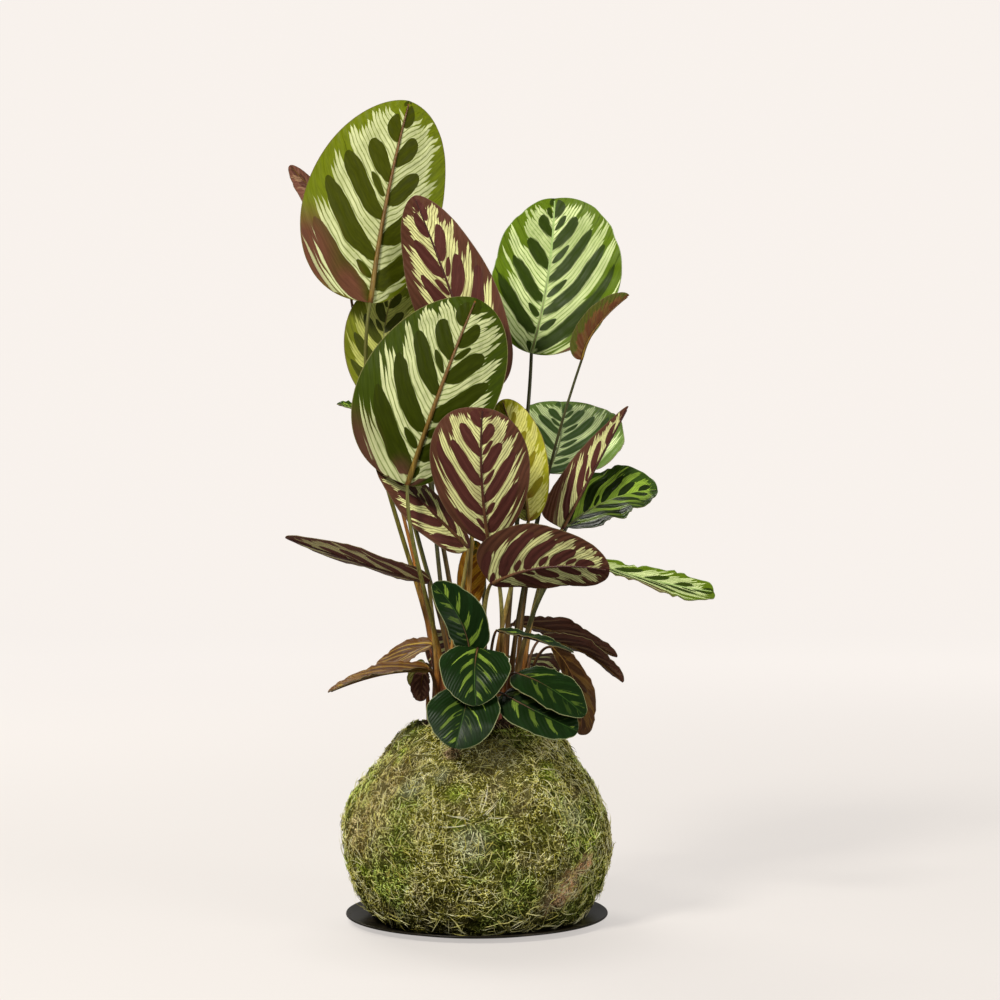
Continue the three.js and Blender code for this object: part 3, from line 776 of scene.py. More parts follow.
# %% Table of leaves
LEAF_FIELDS = ("look", "foot", "bend", "neck", "mid", "tip", "face", "wide", "peak", "fold", "curl", "wave")
LEAF_ROWS = {
    "leaf_top_left": ("glowing", (-24, 7), (-100, -14, 368), (-81, -10, 470), (-69, -2, 549),
        (-52, 10, 627), (-0.15, 1, 0.15), (44, 62), (0.54, 0.42), 8, 6, (1.5, 2)),
    "leaf_upper_purple": ("purple", (-9, -9), (-2, -34, 330), (6, -26, 400), (-20, -32, 478),
        (-47, -34, 548), (0.25, 1, 0.1), (33, 35), (0.36, 0.45), 14, 8, (1.5, 2.5)),
    "leaf_big_green": ("green", (-21, -15), (-52, -67, 284), (-51, -54, 331), (-26, -58, 403),
        (0, -46, 470), (0.05, 1, 0.1), (42, 60), (0.56, 0.4), 4, 8, (1.5, 1.5)),
    "leaf_front_purple": ("purple", (17, -16), (24, -36, 250), (9, -56, 289), (4, -74, 340), (5, -84, 387),
        (0.05, 1, 0.25), (35, 38), (0.52, 0.6), 6, 12, (1, 2)),
    "leaf_front_lying": ("purple", (2, -25), (5, -38, 252), (11, -60, 258), (50, -80, 271), (97, -92, 269),
        (0.1, 0.8, 0.6), (22, 36), (0.6, 0.36), 6, 8, (1.5, 2)),
    "leaf_right_top": ("sunny", (20, 12), (40, 20, 370), (42, 30, 434), (55, 40, 494), (61, 62, 559),
        (-0.1, -1, 0.45), (43, 58), (0.48, 0.5), 10, 4, (2.5, 3)),
    "leaf_narrow_right": ("russet", (29, 4), (52, 4, 345), (80, 0, 427), (91, -4, 452), (116, -8, 476),
        (-0.75, 0.5, 0.4), (13, 13), (0.45, 0.45), 42, 8, (0.5, 1)),
    "leaf_yellow": ("yellow", (10, -8), (30, -22, 270), (39, -30, 304), (32, -38, 351), (19, -36, 395),
        (0.2, 1, 0.1), (20, 22), (0.5, 0.5), 14, 10, (1.5, 2)),
    "leaf_right_back": ("dusty", (24, 19), (44, 24, 290), (54, 34, 341), (66, 74, 370), (67, 112, 400),
        (0.1, -0.5, 0.86), (40, 50), (0.45, 0.5), 6, 4, (2, 2.5)),
    "leaf_right_green": ("deep", (31, 11), (50, 24, 262), (70, 40, 299), (104, 50, 320), (142, 54, 328),
        (-0.1, -0.6, 0.8), (30, 34), (0.5, 0.5), 12, 6, (2.5, 3)),
    "leaf_folded_purple": ("purple", (34, -5), (44, -2, 258), (65, -6, 298), (88, -10, 341),
        (115, -14, 391), (-0.62, 0.71, 0.34), (20, 21), (0.2, 0.2), 46, 4, (1, 1.5)),
    "leaf_far_right": ("sunny", (27, -17), (46, -32, 262), (72, -37, 278), (126, -38, 261), (178, -32, 251),
        (0.1, -0.42, 0.9), (14, 24), (0.62, 0.62), 12, 4, (1, 2)),
    "leaf_far_left": ("bright purple", (-29, -8), (-34, -23, 240), (-36, -30, 258), (-83, -36, 272),
        (-143, -38, 292), (-0.2, 0.3, 0.93), (19, 19), (0.42, 0.42), 6, 8, (1, 2)),
    "leaf_left_low": ("rusty", (-33, 4), (-32, -2, 206), (-34, -8, 209), (-56, -5, 201), (-79, -4, 186),
        (-0.3, -0.4, 0.87), (15, 15), (0.45, 0.45), 8, 6, (0.8, 2)),
    "leaf_left_lowest": ("rusty", (-30, -18), (-31, -28, 188), (-35, -34, 192), (-70, -38, 190),
        (-111, -38, 176), (-0.15, -0.15, 0.97), (16, 16), (0.4, 0.4), 12, 6, (0.8, 2)),
    "leaf_left_small": ("yellow", (-30, 13), (-34, 14, 194), (-40, 14, 194), (-47, 14, 187), (-49, 12, 176),
        (-0.5, -0.4, 0.5), (7, 7), (0.45, 0.45), 10, 8, (0.4, 1)),
    "leaf_left_hanging": ("brown", (-37, -5), (-39, -10, 192), (-40, -13, 190), (-42, -17, 179),
        (-41, -20, 168), (-0.3, -0.8, 0.3), (7, 7), (0.5, 0.5), 12, 10, (0.4, 1)),
    "leaf_young_centre": ("young", (-8, -31), (1, -44, 207), (1, -52, 210), (-1, -70, 194), (0, -82, 170),
        (0, -0.75, 0.6), (25, 25), (0.42, 0.42), 8, -10, (1.2, 2)),
    "leaf_young_lowest": ("young", (-19, -30), (-14, -50, 184), (-5, -61, 182), (-9, -80, 163),
        (-15, -91, 140), (-0.1, -0.8, 0.55), (25, 26), (0.45, 0.45), 8, -8, (1, 2)),
    "leaf_young_upright": ("young", (-12, -22), (-7, -40, 194), (-5, -44, 206), (-13, -50, 233),
        (-32, -48, 258), (0.1, -1, 0.2), (12, 18), (0.45, 0.4), 14, 4, (1, 2)),
    "leaf_young_right": ("young", (14, -31), (22, -48, 194), (30, -59, 192), (55, -77, 182), (79, -85, 163),
        (0.2, -0.6, 0.8), (20, 20), (0.45, 0.45), 6, -8, (1, 2)),
    "leaf_young_right_low": ("young", (3, -36), (10, -50, 180), (20, -60, 177), (46, -82, 165),
        (74, -87, 152), (0, -0.8, 0.6), (22, 18), (0.45, 0.45), 6, -8, (1, 2)),
    "leaf_brown_hanging": ("umber", (36, 4), (46, -6, 212), (57, -12, 208), (74, -20, 182), (79, -27, 143),
        (0.75, -0.6, 0.3), (15, 15), (0.6, 0.6), 8, 8, (1, 2)),
    "leaf_brown_right": ("brown", (16, 28), (20, 32, 218), (27, 36, 223), (67, 48, 215), (110, 54, 196),
        (0.2, 0.4, 0.9), (19, 19), (0.36, 0.36), 8, 8, (1.5, 2)),
    "leaf_brown_right_low": ("brown", (37, -12), (38, -6, 206), (48, 0, 213), (81, 4, 204), (112, 6, 180),
        (0.2, 0.3, 0.9), (18, 18), (0.4, 0.4), 8, 8, (1, 2)),
    "leaf_front_edge": ("young", (9, -20), (10, -40, 216), (15, -46, 223), (43, -54, 217), (72, -58, 207),
        (0.2, -0.1, 1), (12, 12), (0.45, 0.45), 6, 6, (0.8, 2)),
    "leaf_behind_top": ("brown", (-29, 19), (-104, 32, 440), (-103, 36, 526), (-125, 44, 557),
        (-148, 48, 583), (-0.6, 0.5, 0.5), (12, 12), (0.4, 0.4), 30, 8, (0.8, 2)),
    "leaf_olive": ("olive", (-14, 7), (-62, -2, 310), (-61, 6, 392), (-72, 12, 440), (-62, 24, 488),
        (0, -1, 0.1), (30, 33), (0.5, 0.5), 12, 6, (2, 2)),
    "leaf_left_tip": ("deep", (-15, -16), (-52, -15, 300), (-58, -24, 360), (-80, -30, 382),
        (-105, -30, 392), (-0.2, -0.2, 0.95), (12, 12), (0.45, 0.45), 10, 8, (0.8, 2)),
    "leaf_under_front": ("purple", (-24, -24), (-8, -32, 262), (-6, -36, 284), (-40, -41, 318),
        (-74, -40, 355), (-0.5, 0.8, -0.3), (17, 17), (0.45, 0.45), 12, 8, (1, 2)),
    "leaf_amber": ("amber", (2, 2), (-8, 1, 212), (-8, 0, 236), (-6, 2, 262), (-2, 6, 289), (0.3, -1, 0.1),
        (13, 13), (0.5, 0.5), 26, 20, (0.5, 1)),
    "leaf_back_left": ("sunny", (-20, 27), (-42, 58, 330), (-34, 70, 360), (-26, 92, 416), (-20, 100, 466),
        (0, 1, 0.4), (36, 36), (0.45, 0.45), 10, 6, (2, 2)),
    "leaf_back_top": ("sunny", (-9, 19), (-60, 52, 420), (-68, 56, 478), (-64, 66, 540), (-56, 84, 590),
        (0, 1, 0.3), (34, 34), (0.45, 0.45), 10, 6, (2, 2)),
    "leaf_back_middle": ("deep", (6, 30), (4, 56, 300), (6, 66, 318), (2, 104, 340), (0, 142, 342),
        (0, 0.3, 1), (30, 30), (0.45, 0.45), 8, 6, (2, 2)),
    "leaf_back_low": ("deep", (-6, 36), (-12, 52, 208), (-14, 60, 212), (-22, 90, 202), (-28, 114, 176),
        (0, 0.5, 0.85), (20, 20), (0.45, 0.45), 8, 6, (1.5, 2)),
    "leaf_back_low_right": ("deep", (24, 30), (30, 50, 192), (33, 58, 194), (46, 84, 188), (52, 106, 166),
        (0.1, 0.5, 0.85), (18, 18), (0.45, 0.45), 8, 6, (1.5, 2)),
}
TWISTS = {"leaf_far_right": 26, "leaf_far_left": 10, "leaf_brown_hanging": 10}
LEAVES = {name: dict(zip(LEAF_FIELDS, row)) for name, row in LEAF_ROWS.items()}
for name, twist in TWISTS.items():
    LEAVES[name]["twist"] = twist
print("leaves in the table:", len(LEAVES))

# %% Table of looks
# Each look: the finishes of the upper side, the underside, the stem and the midrib, and the slot.
LOOKS = {
    # The glowing and green looks carry painted backlight in their undersides.
    "glowing": ("sunny_upper", "painted_backlight_under", "stem_green", "rib_brown", "leaf_green"),
    "green": ("sunny_upper", "painted_backlight_green_under", "stem_green", "rib_brown", "leaf_green"),
    "sunny": ("sunny_upper", "plum_under", "stem_dark", "rib_green", "leaf_green"),
    # The dusty look's upper side is lightened against shade, so it is partly painted light.
    "dusty": ("dusty_painted_light_upper", "plum_under", "stem_dark", "rib_green", "leaf_green"),
    "deep": ("deep_upper", "plum_under", "stem_dark", "rib_green", "leaf_green"),
    "purple": ("deep_upper", "plum_under", "stem_pale", "rib_plum", "leaf_purple"),
    "brown": ("brown_under", "brown_under", "stem_brown", "rib_brown", "leaf_purple"),
    # The umber look is painted shade: a darker brown for a leaf the lamps light strongly.
    "umber": ("painted_shade_umber_under", "painted_shade_umber_under", "stem_brown", "rib_brown", "leaf_purple"),
    "bright purple": ("deep_upper", "painted_light_plum_under", "stem_pale", "rib_plum", "leaf_purple"),
    "rusty": ("rusty_under", "rusty_under", "stem_brown", "rib_brown", "leaf_purple"),
    "russet": ("russet_under", "russet_under", "stem_dark", "rib_brown", "leaf_purple"),
    "young": ("young_upper", "young_under", "stem_brown", "rib_plum", "leaf_young"),
    "yellow": ("yellow_leaf", "yellow_leaf", "stem_pale", "rib_brown", "leaf_yellow"),
    "olive": ("olive_leaf", "olive_leaf", "stem_green", "rib_green", "leaf_yellow"),
    "amber": ("amber_leaf", "amber_leaf", "stem_pale", "rib_brown", "leaf_amber"),
}
print("looks:", ", ".join(LOOKS))

# %% [markdown]
# ## The form of one leaf
# The stem stands straight in the soil, rises, and leans over to the neck of the blade. The midrib is a smooth
# curve from neck to tip. Each half of the blade lifts a little from the midrib and curls towards its margin,
# and the margins ripple. These are the same rules as the solids follow, so blade and solid lie together.

# %% Curves of the stem and the midrib
FOOT_Z = 158
ROOT_DEPTH = 13
FOOT_LEAN = 0.35
FOOT_REACH = 0.36
LARGE_BLADE_LENGTH = 77


def lerp(first, last, share):
    return first + (last - first) * share


def blade_length(leaf):
    return (Vector(leaf["tip"]) - Vector(leaf["neck"])).length


def stem_points(leaf, count):
    foot = Vector((*leaf["foot"], FOOT_Z))
    bend = Vector(leaf["bend"])
    neck = Vector(leaf["neck"])
    lean = bend - foot
    start = Vector((lean.x * FOOT_LEAN, lean.y * FOOT_LEAN, lean.z)).normalized()
    second = foot + start * ((foot - neck).length * FOOT_REACH)
    points = [foot - start * ROOT_DEPTH]
    for k in range(count + 1):
        t = k / count
        early = foot * (1 - t) ** 3 + second * (3 * t * (1 - t) ** 2)
        points.append(early + bend * (3 * t * t * (1 - t)) + neck * t ** 3)
    return points


def midrib_frame(leaf, v):
    """The midrib's point at v, from 0 at the neck to 1 at the tip, and the three directions there."""
    neck = Vector(leaf["neck"])
    tip = Vector(leaf["tip"])
    crest = Vector(leaf["mid"]) * 2 - (neck + tip) * 0.5
    at = neck * (1 - v) ** 2 + crest * (2 * v * (1 - v)) + tip * v * v
    along = ((crest - neck) * (1 - v) + (tip - crest) * v).normalized()
    out = Vector(leaf["face"])
    out = (out - along * out.dot(along)).normalized()
    out = Quaternion(along, math.radians(leaf.get("twist", 0)) * (v - 0.5)) @ out
    return at, along, out, along.cross(out)


print("longest blade:", round(max(blade_length(leaf) for leaf in LEAVES.values())), "mm")

# %% The blade's outline, fold and ripples
MARGIN_START = 1.5
MARGIN_END = 0.8
# How far the margin crinkles up and down, and in and out, in millimetres, for each look.
CRINKLE = {"sunny": 1.1, "deep": 1.0, "dusty": 1.0, "brown": 0.7, "umber": 0.7, "rusty": 0.7, "young": 0.6}
SCALLOP = {"sunny": 1.0, "deep": 0.7, "dusty": 0.8, "brown": 0.5, "umber": 0.5, "rusty": 0.5, "young": 0.6}
PLAIN_CRINKLE = 0.3
CRINKLES_ALONG = 7.4


def oval_share(v, peak):
    """The share of the full width at v, for a half blade that is widest at its peak."""
    v = min(max(v, 0.0), 1.0)
    return (v / peak) ** peak * ((1 - v) / (1 - peak)) ** (1 - peak)


def scallop_wave(leaf, v, half):
    """A sine whose waves are now closer together and now further apart, so that no two look the same."""
    return math.sin(34 * v + 9 * math.sin(5 * v + half) + leaf["foot"][0])


def crinkle_wave(leaf, v, half):
    turn = 2 * math.pi * CRINKLES_ALONG * v + 3 * half + leaf["foot"][0]
    return math.sin(turn + 2.2 * math.sin(0.41 * turn))


def blade_point(leaf, v, s):
    """A point of the blade, s from -1 to 1 across it, with the way out from it and the half width there."""
    at, _, out, across = midrib_frame(leaf, v)
    half = 0 if s < 0 else 1
    sign = 1 if half else -1
    share = oval_share(v, leaf["peak"][half])
    width = leaf["wide"][half] * share + lerp(MARGIN_START, MARGIN_END, v)
    width += SCALLOP.get(leaf["look"], 0.0) * share * scallop_wave(leaf, v, half)
    reach = width * abs(s)
    fold = math.radians(leaf["fold"])
    curl = math.radians(leaf["curl"]) * abs(s)
    lift = fold + curl / 2
    height, count = leaf["wave"]
    ripple = height * abs(s) ** 1.5 * share * math.sin(2 * math.pi * count * v + 2 * half)
    crinkle = CRINKLE.get(leaf["look"], PLAIN_CRINKLE) * abs(s) ** 4 * share * crinkle_wave(leaf, v, half)
    point = at + across * (sign * reach * math.cos(lift))
    point += out * (reach * math.sin(lift) + ripple + crinkle)
    slope = fold + curl if s else 0
    normal = out * math.cos(slope) - across * (sign * math.sin(slope))
    return point, normal, width


print("crinkled looks:", ", ".join(CRINKLE))

# %% [markdown]
# ## Making a leaf
# The blade starts as two flat grids, one for each side, which are bent point by point along the midrib. The
# grid lines lie closer near the midrib and near both ends, where the blade turns most. The two skins are then
# bridged round the margin. Each point carries what the pattern has to know there, in attributes: how wide the
# blade is, its variety, and how much it flushes.

# %% The blade
BLADE_THICK = 0.5
LARGE_GRID = (36, 52)
SMALL_GRID = (22, 30)
UPPER, UNDER, EDGE, STEM, RIB = range(5)
# Narrow folded blades, whose side veins run nearly along the midrib, and how much more they lean.
SWEPT = {
    "leaf_upper_purple": 1.6, "leaf_front_purple": 1.15, "leaf_far_left": 2.2, "leaf_under_front": 1.5,
    "leaf_folded_purple": 2.6, "leaf_left_low": 2.0, "leaf_left_lowest": 2.4, "leaf_brown_right": 1.8,
    "leaf_brown_right_low": 1.8, "leaf_far_right": 1.8,
}
# Places where a blade turns plum or rusty: across, along, and how far round the place.
# On leaves with painted backlight, a flush marks where the blade is not lit from behind and shows its own
# plum.
FLUSHES = {
    "leaf_top_left": [(0.95, 0.20, 0.26), (0.45, 0.04, 0.18)],
    "leaf_big_green": [(0.95, 0.06, 0.24), (0.2, 0.0, 0.14), (-0.5, 0.0, 0.12)],
    "leaf_right_top": [(1.0, 0.12, 0.14)],
    "leaf_yellow": [(0.0, 0.0, 0.30)],
    "leaf_far_right": [(1.0, 0.5, 0.22)],
    "leaf_amber": [(0.0, 1.0, 0.30)],
}
FLUSH_SQUEEZE = 0.45
FLUSH_GAIN = 1.7


def flush_at(node, s, v):
    most = 0.0
    for side, along, radius in FLUSHES.get(node, []):
        away = math.hypot((s - side) * FLUSH_SQUEEZE, v - along) / radius
        most = max(most, min(1.0, FLUSH_GAIN * (1 - away)))
    return most


def bend_grid(bm, node, leaf, layers, grid, push, material):
    before = set(bm.faces)
    made = bmesh.ops.create_grid(bm, x_segments=grid[0], y_segments=grid[1], size=1.0)["verts"]
    flat = {v: (v.co.x * abs(v.co.x) ** 0.2, (1 + math.sin(math.pi * v.co.y / 2)) / 2) for v in made}
    length = blade_length(leaf)
    faces = [face for face in bm.faces if face not in before]
    for face in faces:
        face.material_index = material
        face.smooth = True
        for loop in face.loops:
            s, v = flat[loop.vert]
            loop[layers["uv"]].uv = ((s + 1) / 2, v)
    for vert, (s, v) in flat.items():
        point, normal, width = blade_point(leaf, v, s)
        vert.co = point + normal * push
        vert[layers["half_width"]] = width
        vert[layers["breadth"]] = width / length * SWEPT.get(node, 1.0)
        vert[layers["variety"]] = leaf["variety"]
        vert[layers["flush"]] = flush_at(node, s, v)
    return faces


def bridge_margin(bm):
    rims = [edge for edge in bm.edges if edge.is_boundary]
    for edge in rims:
        edge.smooth = False
    for face in bmesh.ops.bridge_loops(bm, edges=rims)["faces"]:
        face.material_index = EDGE
        face.smooth = True


print("blade grids:", LARGE_GRID, "and", SMALL_GRID)

# %% [markdown]
# The stem and midrib are one ring of points extruded along the curve, getting thinner on the way, because a
# midrib is the stem going on under the blade. The ring turns as little as it can from step to step, so that
# its sides don't twist. Low on the stem a swelling stands for the sheath.

# %% The stem and the midrib
RING_SIDES = 10
CAD_THICK = 0.7
# Radius at the foot and at the neck in millimetres, and the steps of the stem and of the midrib.
LARGE_STEM = (2.1, 1.3, 34, 30)
SMALL_STEM = (1.6, 0.95, 16, 16)
SHEATH_SWELL = 0.25
SHEATH_PLACE = 0.12
SHEATH_SPREAD = 0.09
RIB_THICK = {"glowing": 1.7, "green": 1.7}
PLAIN_RIB_THICK = 1.15
RIB_SUNK = 0.15
RIB_END = 0.975
RIB_END_RADIUS = 0.45


def ring_frame(points, radii, k, side):
    along = (points[min(k + 1, len(points) - 1)] - points[max(k - 1, 0)]).normalized()
    side = (side - along * side.dot(along)).normalized()
    other = along.cross(side)
    turn = Matrix((side * radii[k], other * radii[k], along)).transposed().to_4x4()
    return Matrix.Translation(points[k]) @ turn, side


def extrude_along(bm, points, radii, alongs, layer, material_at):
    made = bmesh.ops.create_circle(bm, cap_ends=True, segments=RING_SIDES, radius=1.0)["verts"]
    cap = made[0].link_faces[0]
    place, side = ring_frame(points, radii, 0, Vector((1, 0.2, 0)))
    bmesh.ops.transform(bm, matrix=place, verts=made)
    ring = list(cap.edges)
    bmesh.ops.reverse_faces(bm, faces=[cap])
    for v in made:
        v[layer] = alongs[0]
    for k in range(1, len(points)):
        grown = bmesh.ops.extrude_edge_only(bm, edges=ring)["geom"]
        fresh = [v for v in grown if is_vert(v)]
        ring = [e for e in filter(is_edge, grown) if e.verts[0] in fresh and e.verts[1] in fresh]
        following, side = ring_frame(points, radii, k, side)
        bmesh.ops.transform(bm, matrix=following @ place.inverted(), verts=fresh)
        place = following
        for v in fresh:
            v[layer] = alongs[k]
        for face in (g for g in grown if isinstance(g, bmesh.types.BMFace)):
            face.material_index = material_at(k)
            face.smooth = True
    bmesh.ops.edgeloop_fill(bm, edges=ring, mat_nr=material_at(len(points) - 1))


def sheath_swell(t):
    return 1 + SHEATH_SWELL * math.exp(-((t - SHEATH_PLACE) / SHEATH_SPREAD) ** 2)


def stem_and_midrib(bm, leaf, layer, stem):
    foot_radius, neck_radius, steps, rib_steps = stem
    points = stem_points(leaf, steps)
    alongs = [0.0] + [k / steps for k in range(steps + 1)]
    radii = [lerp(foot_radius, neck_radius, t) * sheath_swell(t) for t in alongs]
    for k in range(1, rib_steps + 1):
        v = RIB_END * k / rib_steps
        at, _, out, _ = midrib_frame(leaf, v)
        thick = neck_radius * RIB_THICK.get(leaf["look"], PLAIN_RIB_THICK)
        radius = lerp(thick, RIB_END_RADIUS, v ** 0.85)
        points.append(at - out * (CAD_THICK / 2 + radius * RIB_SUNK))
        radii.append(radius)
        alongs.append(v)
    extrude_along(bm, points, radii, alongs, layer, lambda k: STEM if k <= steps + 1 else RIB)


print("stem radii, large:", LARGE_STEM[:2], "small:", SMALL_STEM[:2])


# %% All leaves
# Each leaf's variety is this further than the last one's, and starts again at 1.
VARIETY_STEP = 0.37


def piece_of(mesh, materials):
    for material in materials:
        mesh.materials.append(material)
    piece = bpy.data.objects.new(mesh.name, mesh)
    scene.collection.objects.link(piece)
    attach(piece, "root")
    return piece


def finish_mesh(name, bm, materials):
    bmesh.ops.scale(bm, vec=(MM, MM, MM), verts=bm.verts)
    mesh = bpy.data.meshes.new(name)
    bm.to_mesh(mesh)
    bm.free()
    return piece_of(mesh, materials)


def triangles_of(piece):
    return sum(len(face.vertices) - 2 for face in piece.data.polygons)


def make_leaf(node, leaf):
    upper, under, stem, rib, slot = LOOKS[leaf["look"]]
    large = blade_length(leaf) > LARGE_BLADE_LENGTH
    grid = LARGE_GRID if large else SMALL_GRID
    bm = bmesh.new()
    layers = {"uv": bm.loops.layers.uv.new("leaf")}
    for label in ("half_width", "breadth", "variety", "flush", "along"):
        layers[label] = bm.verts.layers.float.new(label)
    bend_grid(bm, node, leaf, layers, grid, BLADE_THICK / 2, UPPER)
    below = bend_grid(bm, node, leaf, layers, grid, -BLADE_THICK / 2, UNDER)
    bmesh.ops.reverse_faces(bm, faces=below)
    bridge_margin(bm)
    bmesh.ops.recalc_face_normals(bm, faces=bm.faces[:])
    stem_and_midrib(bm, leaf, layers["along"], LARGE_STEM if large else SMALL_STEM)
    finishes = [blade_finishes[upper], blade_finishes[under], edge_finish]
    finishes += [stem_finishes[stem], stem_finishes[rib]]
    piece = finish_mesh("fine_" + node, bm, finishes)
    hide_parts(node)
    return piece


leaf_triangles = 0
for order, (node, leaf) in enumerate(LEAVES.items()):
    leaf["variety"] = round((order * VARIETY_STEP) % 1, 2)
    leaf_triangles += triangles_of(make_leaf(node, leaf))
print("leaves made:", len(LEAVES), "with", leaf_triangles, "triangles")

# %% [markdown]
# ## The dish
# The ball stands on a shallow dish of dark enamelled metal. A dish is turned, so its outline is drawn once as
# a half section and spun round. Its enamel is nearly black, softly glossy, with dust and fine scratches.

# %% Dish
DISH_SECTION = [(0, 0), (79, 0), (80, 0.05), (99.3, 4.3), (99.9, 4.7), (100, 5.1), (99.8, 5.7), (99.3, 6.0),
                (98.8, 5.95), (80.4, 1.6), (79.4, 1.5), (0, 1.5)]
DISH_STEPS = 120


def spun(section, steps):
    bm = bmesh.new()
    verts = [bm.verts.new((radius, 0, height)) for radius, height in section]
    edges = [bm.edges.new(pair) for pair in zip(verts, verts[1:])]
    bmesh.ops.spin(
        bm, geom=verts + edges, cent=(0, 0, 0), axis=(0, 0, 1), angle=math.tau, steps=steps, use_merge=True,
    )
    bmesh.ops.remove_doubles(bm, verts=bm.verts, dist=1e-4)
    bmesh.ops.recalc_face_normals(bm, faces=bm.faces[:])
    for face in bm.faces:
        face.smooth = True
    return bm


def dish_finish():
    material, tree, sockets = new_material("dark_enamel", specular=0.10)
    place = object_place(tree)
    dust = soft_step(grain(place, 60, 5, 0.65), 0.50, 0.75)
    specks = soft_step(grain(place, 900, 2), 0.66, 0.72)
    colour = mix(dust, (0.010, 0.008, 0.005), (0.034, 0.026, 0.016))
    colour = mix(specks * 0.6, colour, (0.12, 0.10, 0.06))
    join(colour, sockets["Base Color"])
    join(soft_step(dust, 0.0, 1.0, 0.32, 0.6), sockets["Roughness"])
    join(bump(grain(place, 400, 3), 0.0002, 0.3), sockets["Normal"])
    return material


dish = finish_mesh("fine_dish", spun(DISH_SECTION, DISH_STEPS), [dish_finish()])
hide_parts("dish")
print("dish faces:", len(dish.data.polygons))

# %% [markdown]
# ## The moss ball
# Moss is thousands of tiny shoots over a dense mat. The mat is a spun shell with low mounds and fine lumps,
# made first. It could be a plain ball, but its uneven form shows at the outline and in the shade.

# %% The ball's form
BALL_PROFILE = [
    (76, 1.8), (85, 8), (91, 18), (96, 30), (100, 46), (102.5, 63), (100.5, 78), (95.5, 94), (88, 107),
    (78.5, 120), (67, 134), (56, 145), (47, 151),
]
BALL_HEART = 62
PROFILE_PARTS = 7
MOSS_RELIEF = 2
SHOULDER_HEIGHT = 122
SHOULDER_DROP = 3.0


def smooth_profile(points, parts):
    """A smooth row of points through the given ones."""
    ends = [points[0]] + points + [points[-1]]
    row = []
    for before, first, last, after in zip(ends, ends[1:], ends[2:], ends[3:]):
        for k in range(parts):
            t = k / parts
            row.append(tuple(
                0.5 * (2 * b + (c - a) * t + (2 * a - 5 * b + 4 * c - d) * t * t
                       + (3 * b - a - 3 * c + d) * t ** 3)
                for a, b, c, d in zip(before, first, last, after)
            ))
    return row + [points[-1]]


def inset_profile(points, depth):
    moved = []
    for radius, height in points:
        inward = Vector((-radius, BALL_HEART - height)).normalized() * depth
        moved.append((radius + inward.x, height + inward.y))
    return moved


def mound(angle, height):
    """How far the moss stands out there, in low mounds, and sinks at the upper left shoulder."""
    broad = math.sin(3 * angle + height / 23 + 0.6)
    middling = math.sin(7 * angle - height / 11)
    small = math.sin(13 * angle + height / 7 + 2)
    shoulder = math.exp(-((height - SHOULDER_HEIGHT) / 22) ** 2) * max(0.0, -math.cos(angle - 0.5)) ** 2
    return MOSS_RELIEF * (0.5 * broad + 0.3 * middling + 0.2 * small) - SHOULDER_DROP * shoulder


def lumps(place):
    coarse = noise.noise(place / 12)
    fine = noise.noise(place / 5.3 + Vector((7, 3, 1)))
    return 2.6 * coarse + 2.2 * fine


outer_profile = smooth_profile(BALL_PROFILE, PROFILE_PARTS)
print("points on the ball's profile:", len(outer_profile))

# %% [markdown]
# Moss has a colour for each place and each shoot. Patches of olive, straw and living green cover the ball, a
# few places have a colour of their own, and painted shade makes it dark low down where it lies on the dish.
# One node group works this out from a shade between 0, a dark shoot, and 1, a light one. The mat and the
# shoots both use it.

# %% The moss's colour
MOSS_STOPS = [
    (0.0, (0.012, 0.011, 0.0005)), (0.18, (0.14, 0.13, 0.004)), (0.36, (0.58, 0.54, 0.06)),
    (0.58, (0.98, 0.91, 0.30)), (1.0, (1.0, 0.99, 0.70)),
]
DRY_PATCH = ((0.10, 0.068, 0.008), (1.0, 0.87, 0.44))
GREEN_PATCH = ((0.018, 0.028, 0.0005), (0.66, 0.88, 0.10))
PAINTED_LOW_SHADE_COLOUR = (0.030, 0.028, 0.006)
# Heights in metres: full painted shade below the first, none above the second.
PAINTED_LOW_SHADE_HEIGHTS = (0.004, 0.040)
PAINTED_LOW_SHADE_SHARE = 0.8
# The dark and the light colour of each kind of place.
MOSS_KINDS = {
    "straw": ((0.22, 0.15, 0.025), (1.0, 0.84, 0.42)),
    "dusty": ((0.17, 0.18, 0.07), (0.97, 0.99, 0.66)),
    "pink": ((0.95, 0.52, 0.24), (1.0, 0.86, 0.62)),
    "warm": ((0.32, 0.26, 0.04), (1.0, 0.97, 0.56)),
    "rust": ((0.10, 0.05, 0.025), (0.65, 0.42, 0.26)),
    "fresh": ((0.20, 0.23, 0.05), (0.98, 1.0, 0.56)),
    "lime": ((0.13, 0.19, 0.004), (0.86, 1.0, 0.15)),
}
# Each place's kind, its centre and its radius, in millimetres.
MOSS_PLACES = [
    ("straw", (-65, -44, 120), 26), ("straw", (-84, -53, 78), 26), ("dusty", (-49, -70, 112), 11),
    ("dusty", (-25, -75, 120), 7), ("dusty", (-2, -101, 73), 12), ("pink", (58, -75, 25), 11),
    ("pink", (70, -68, 37), 12), ("pink", (81, -60, 52), 9), ("warm", (16, -72, 138), 20),
    ("rust", (-18, -63, 135), 7), ("fresh", (73, -65, 88), 13), ("lime", (54, -59, 119), 9),
    ("lime", (-14, -85, 106), 8), ("lime", (83, -60, 66), 7), ("lime", (-14, -96, 88), 5),
    ("lime", (-57, -38, 131), 8), ("lime", (-86, -54, 47), 8),
]


def nearness(place, ragged, centre, radius):
    """A mask round a place of the ball, with a ragged border."""
    away = distance_from(place, Vector(centre) * MM)
    border = ragged * (radius * 1.6 * MM) + away
    return soft_step(border, radius * 2.3 * MM, radius * 1.2 * MM, 0.0, 0.85)


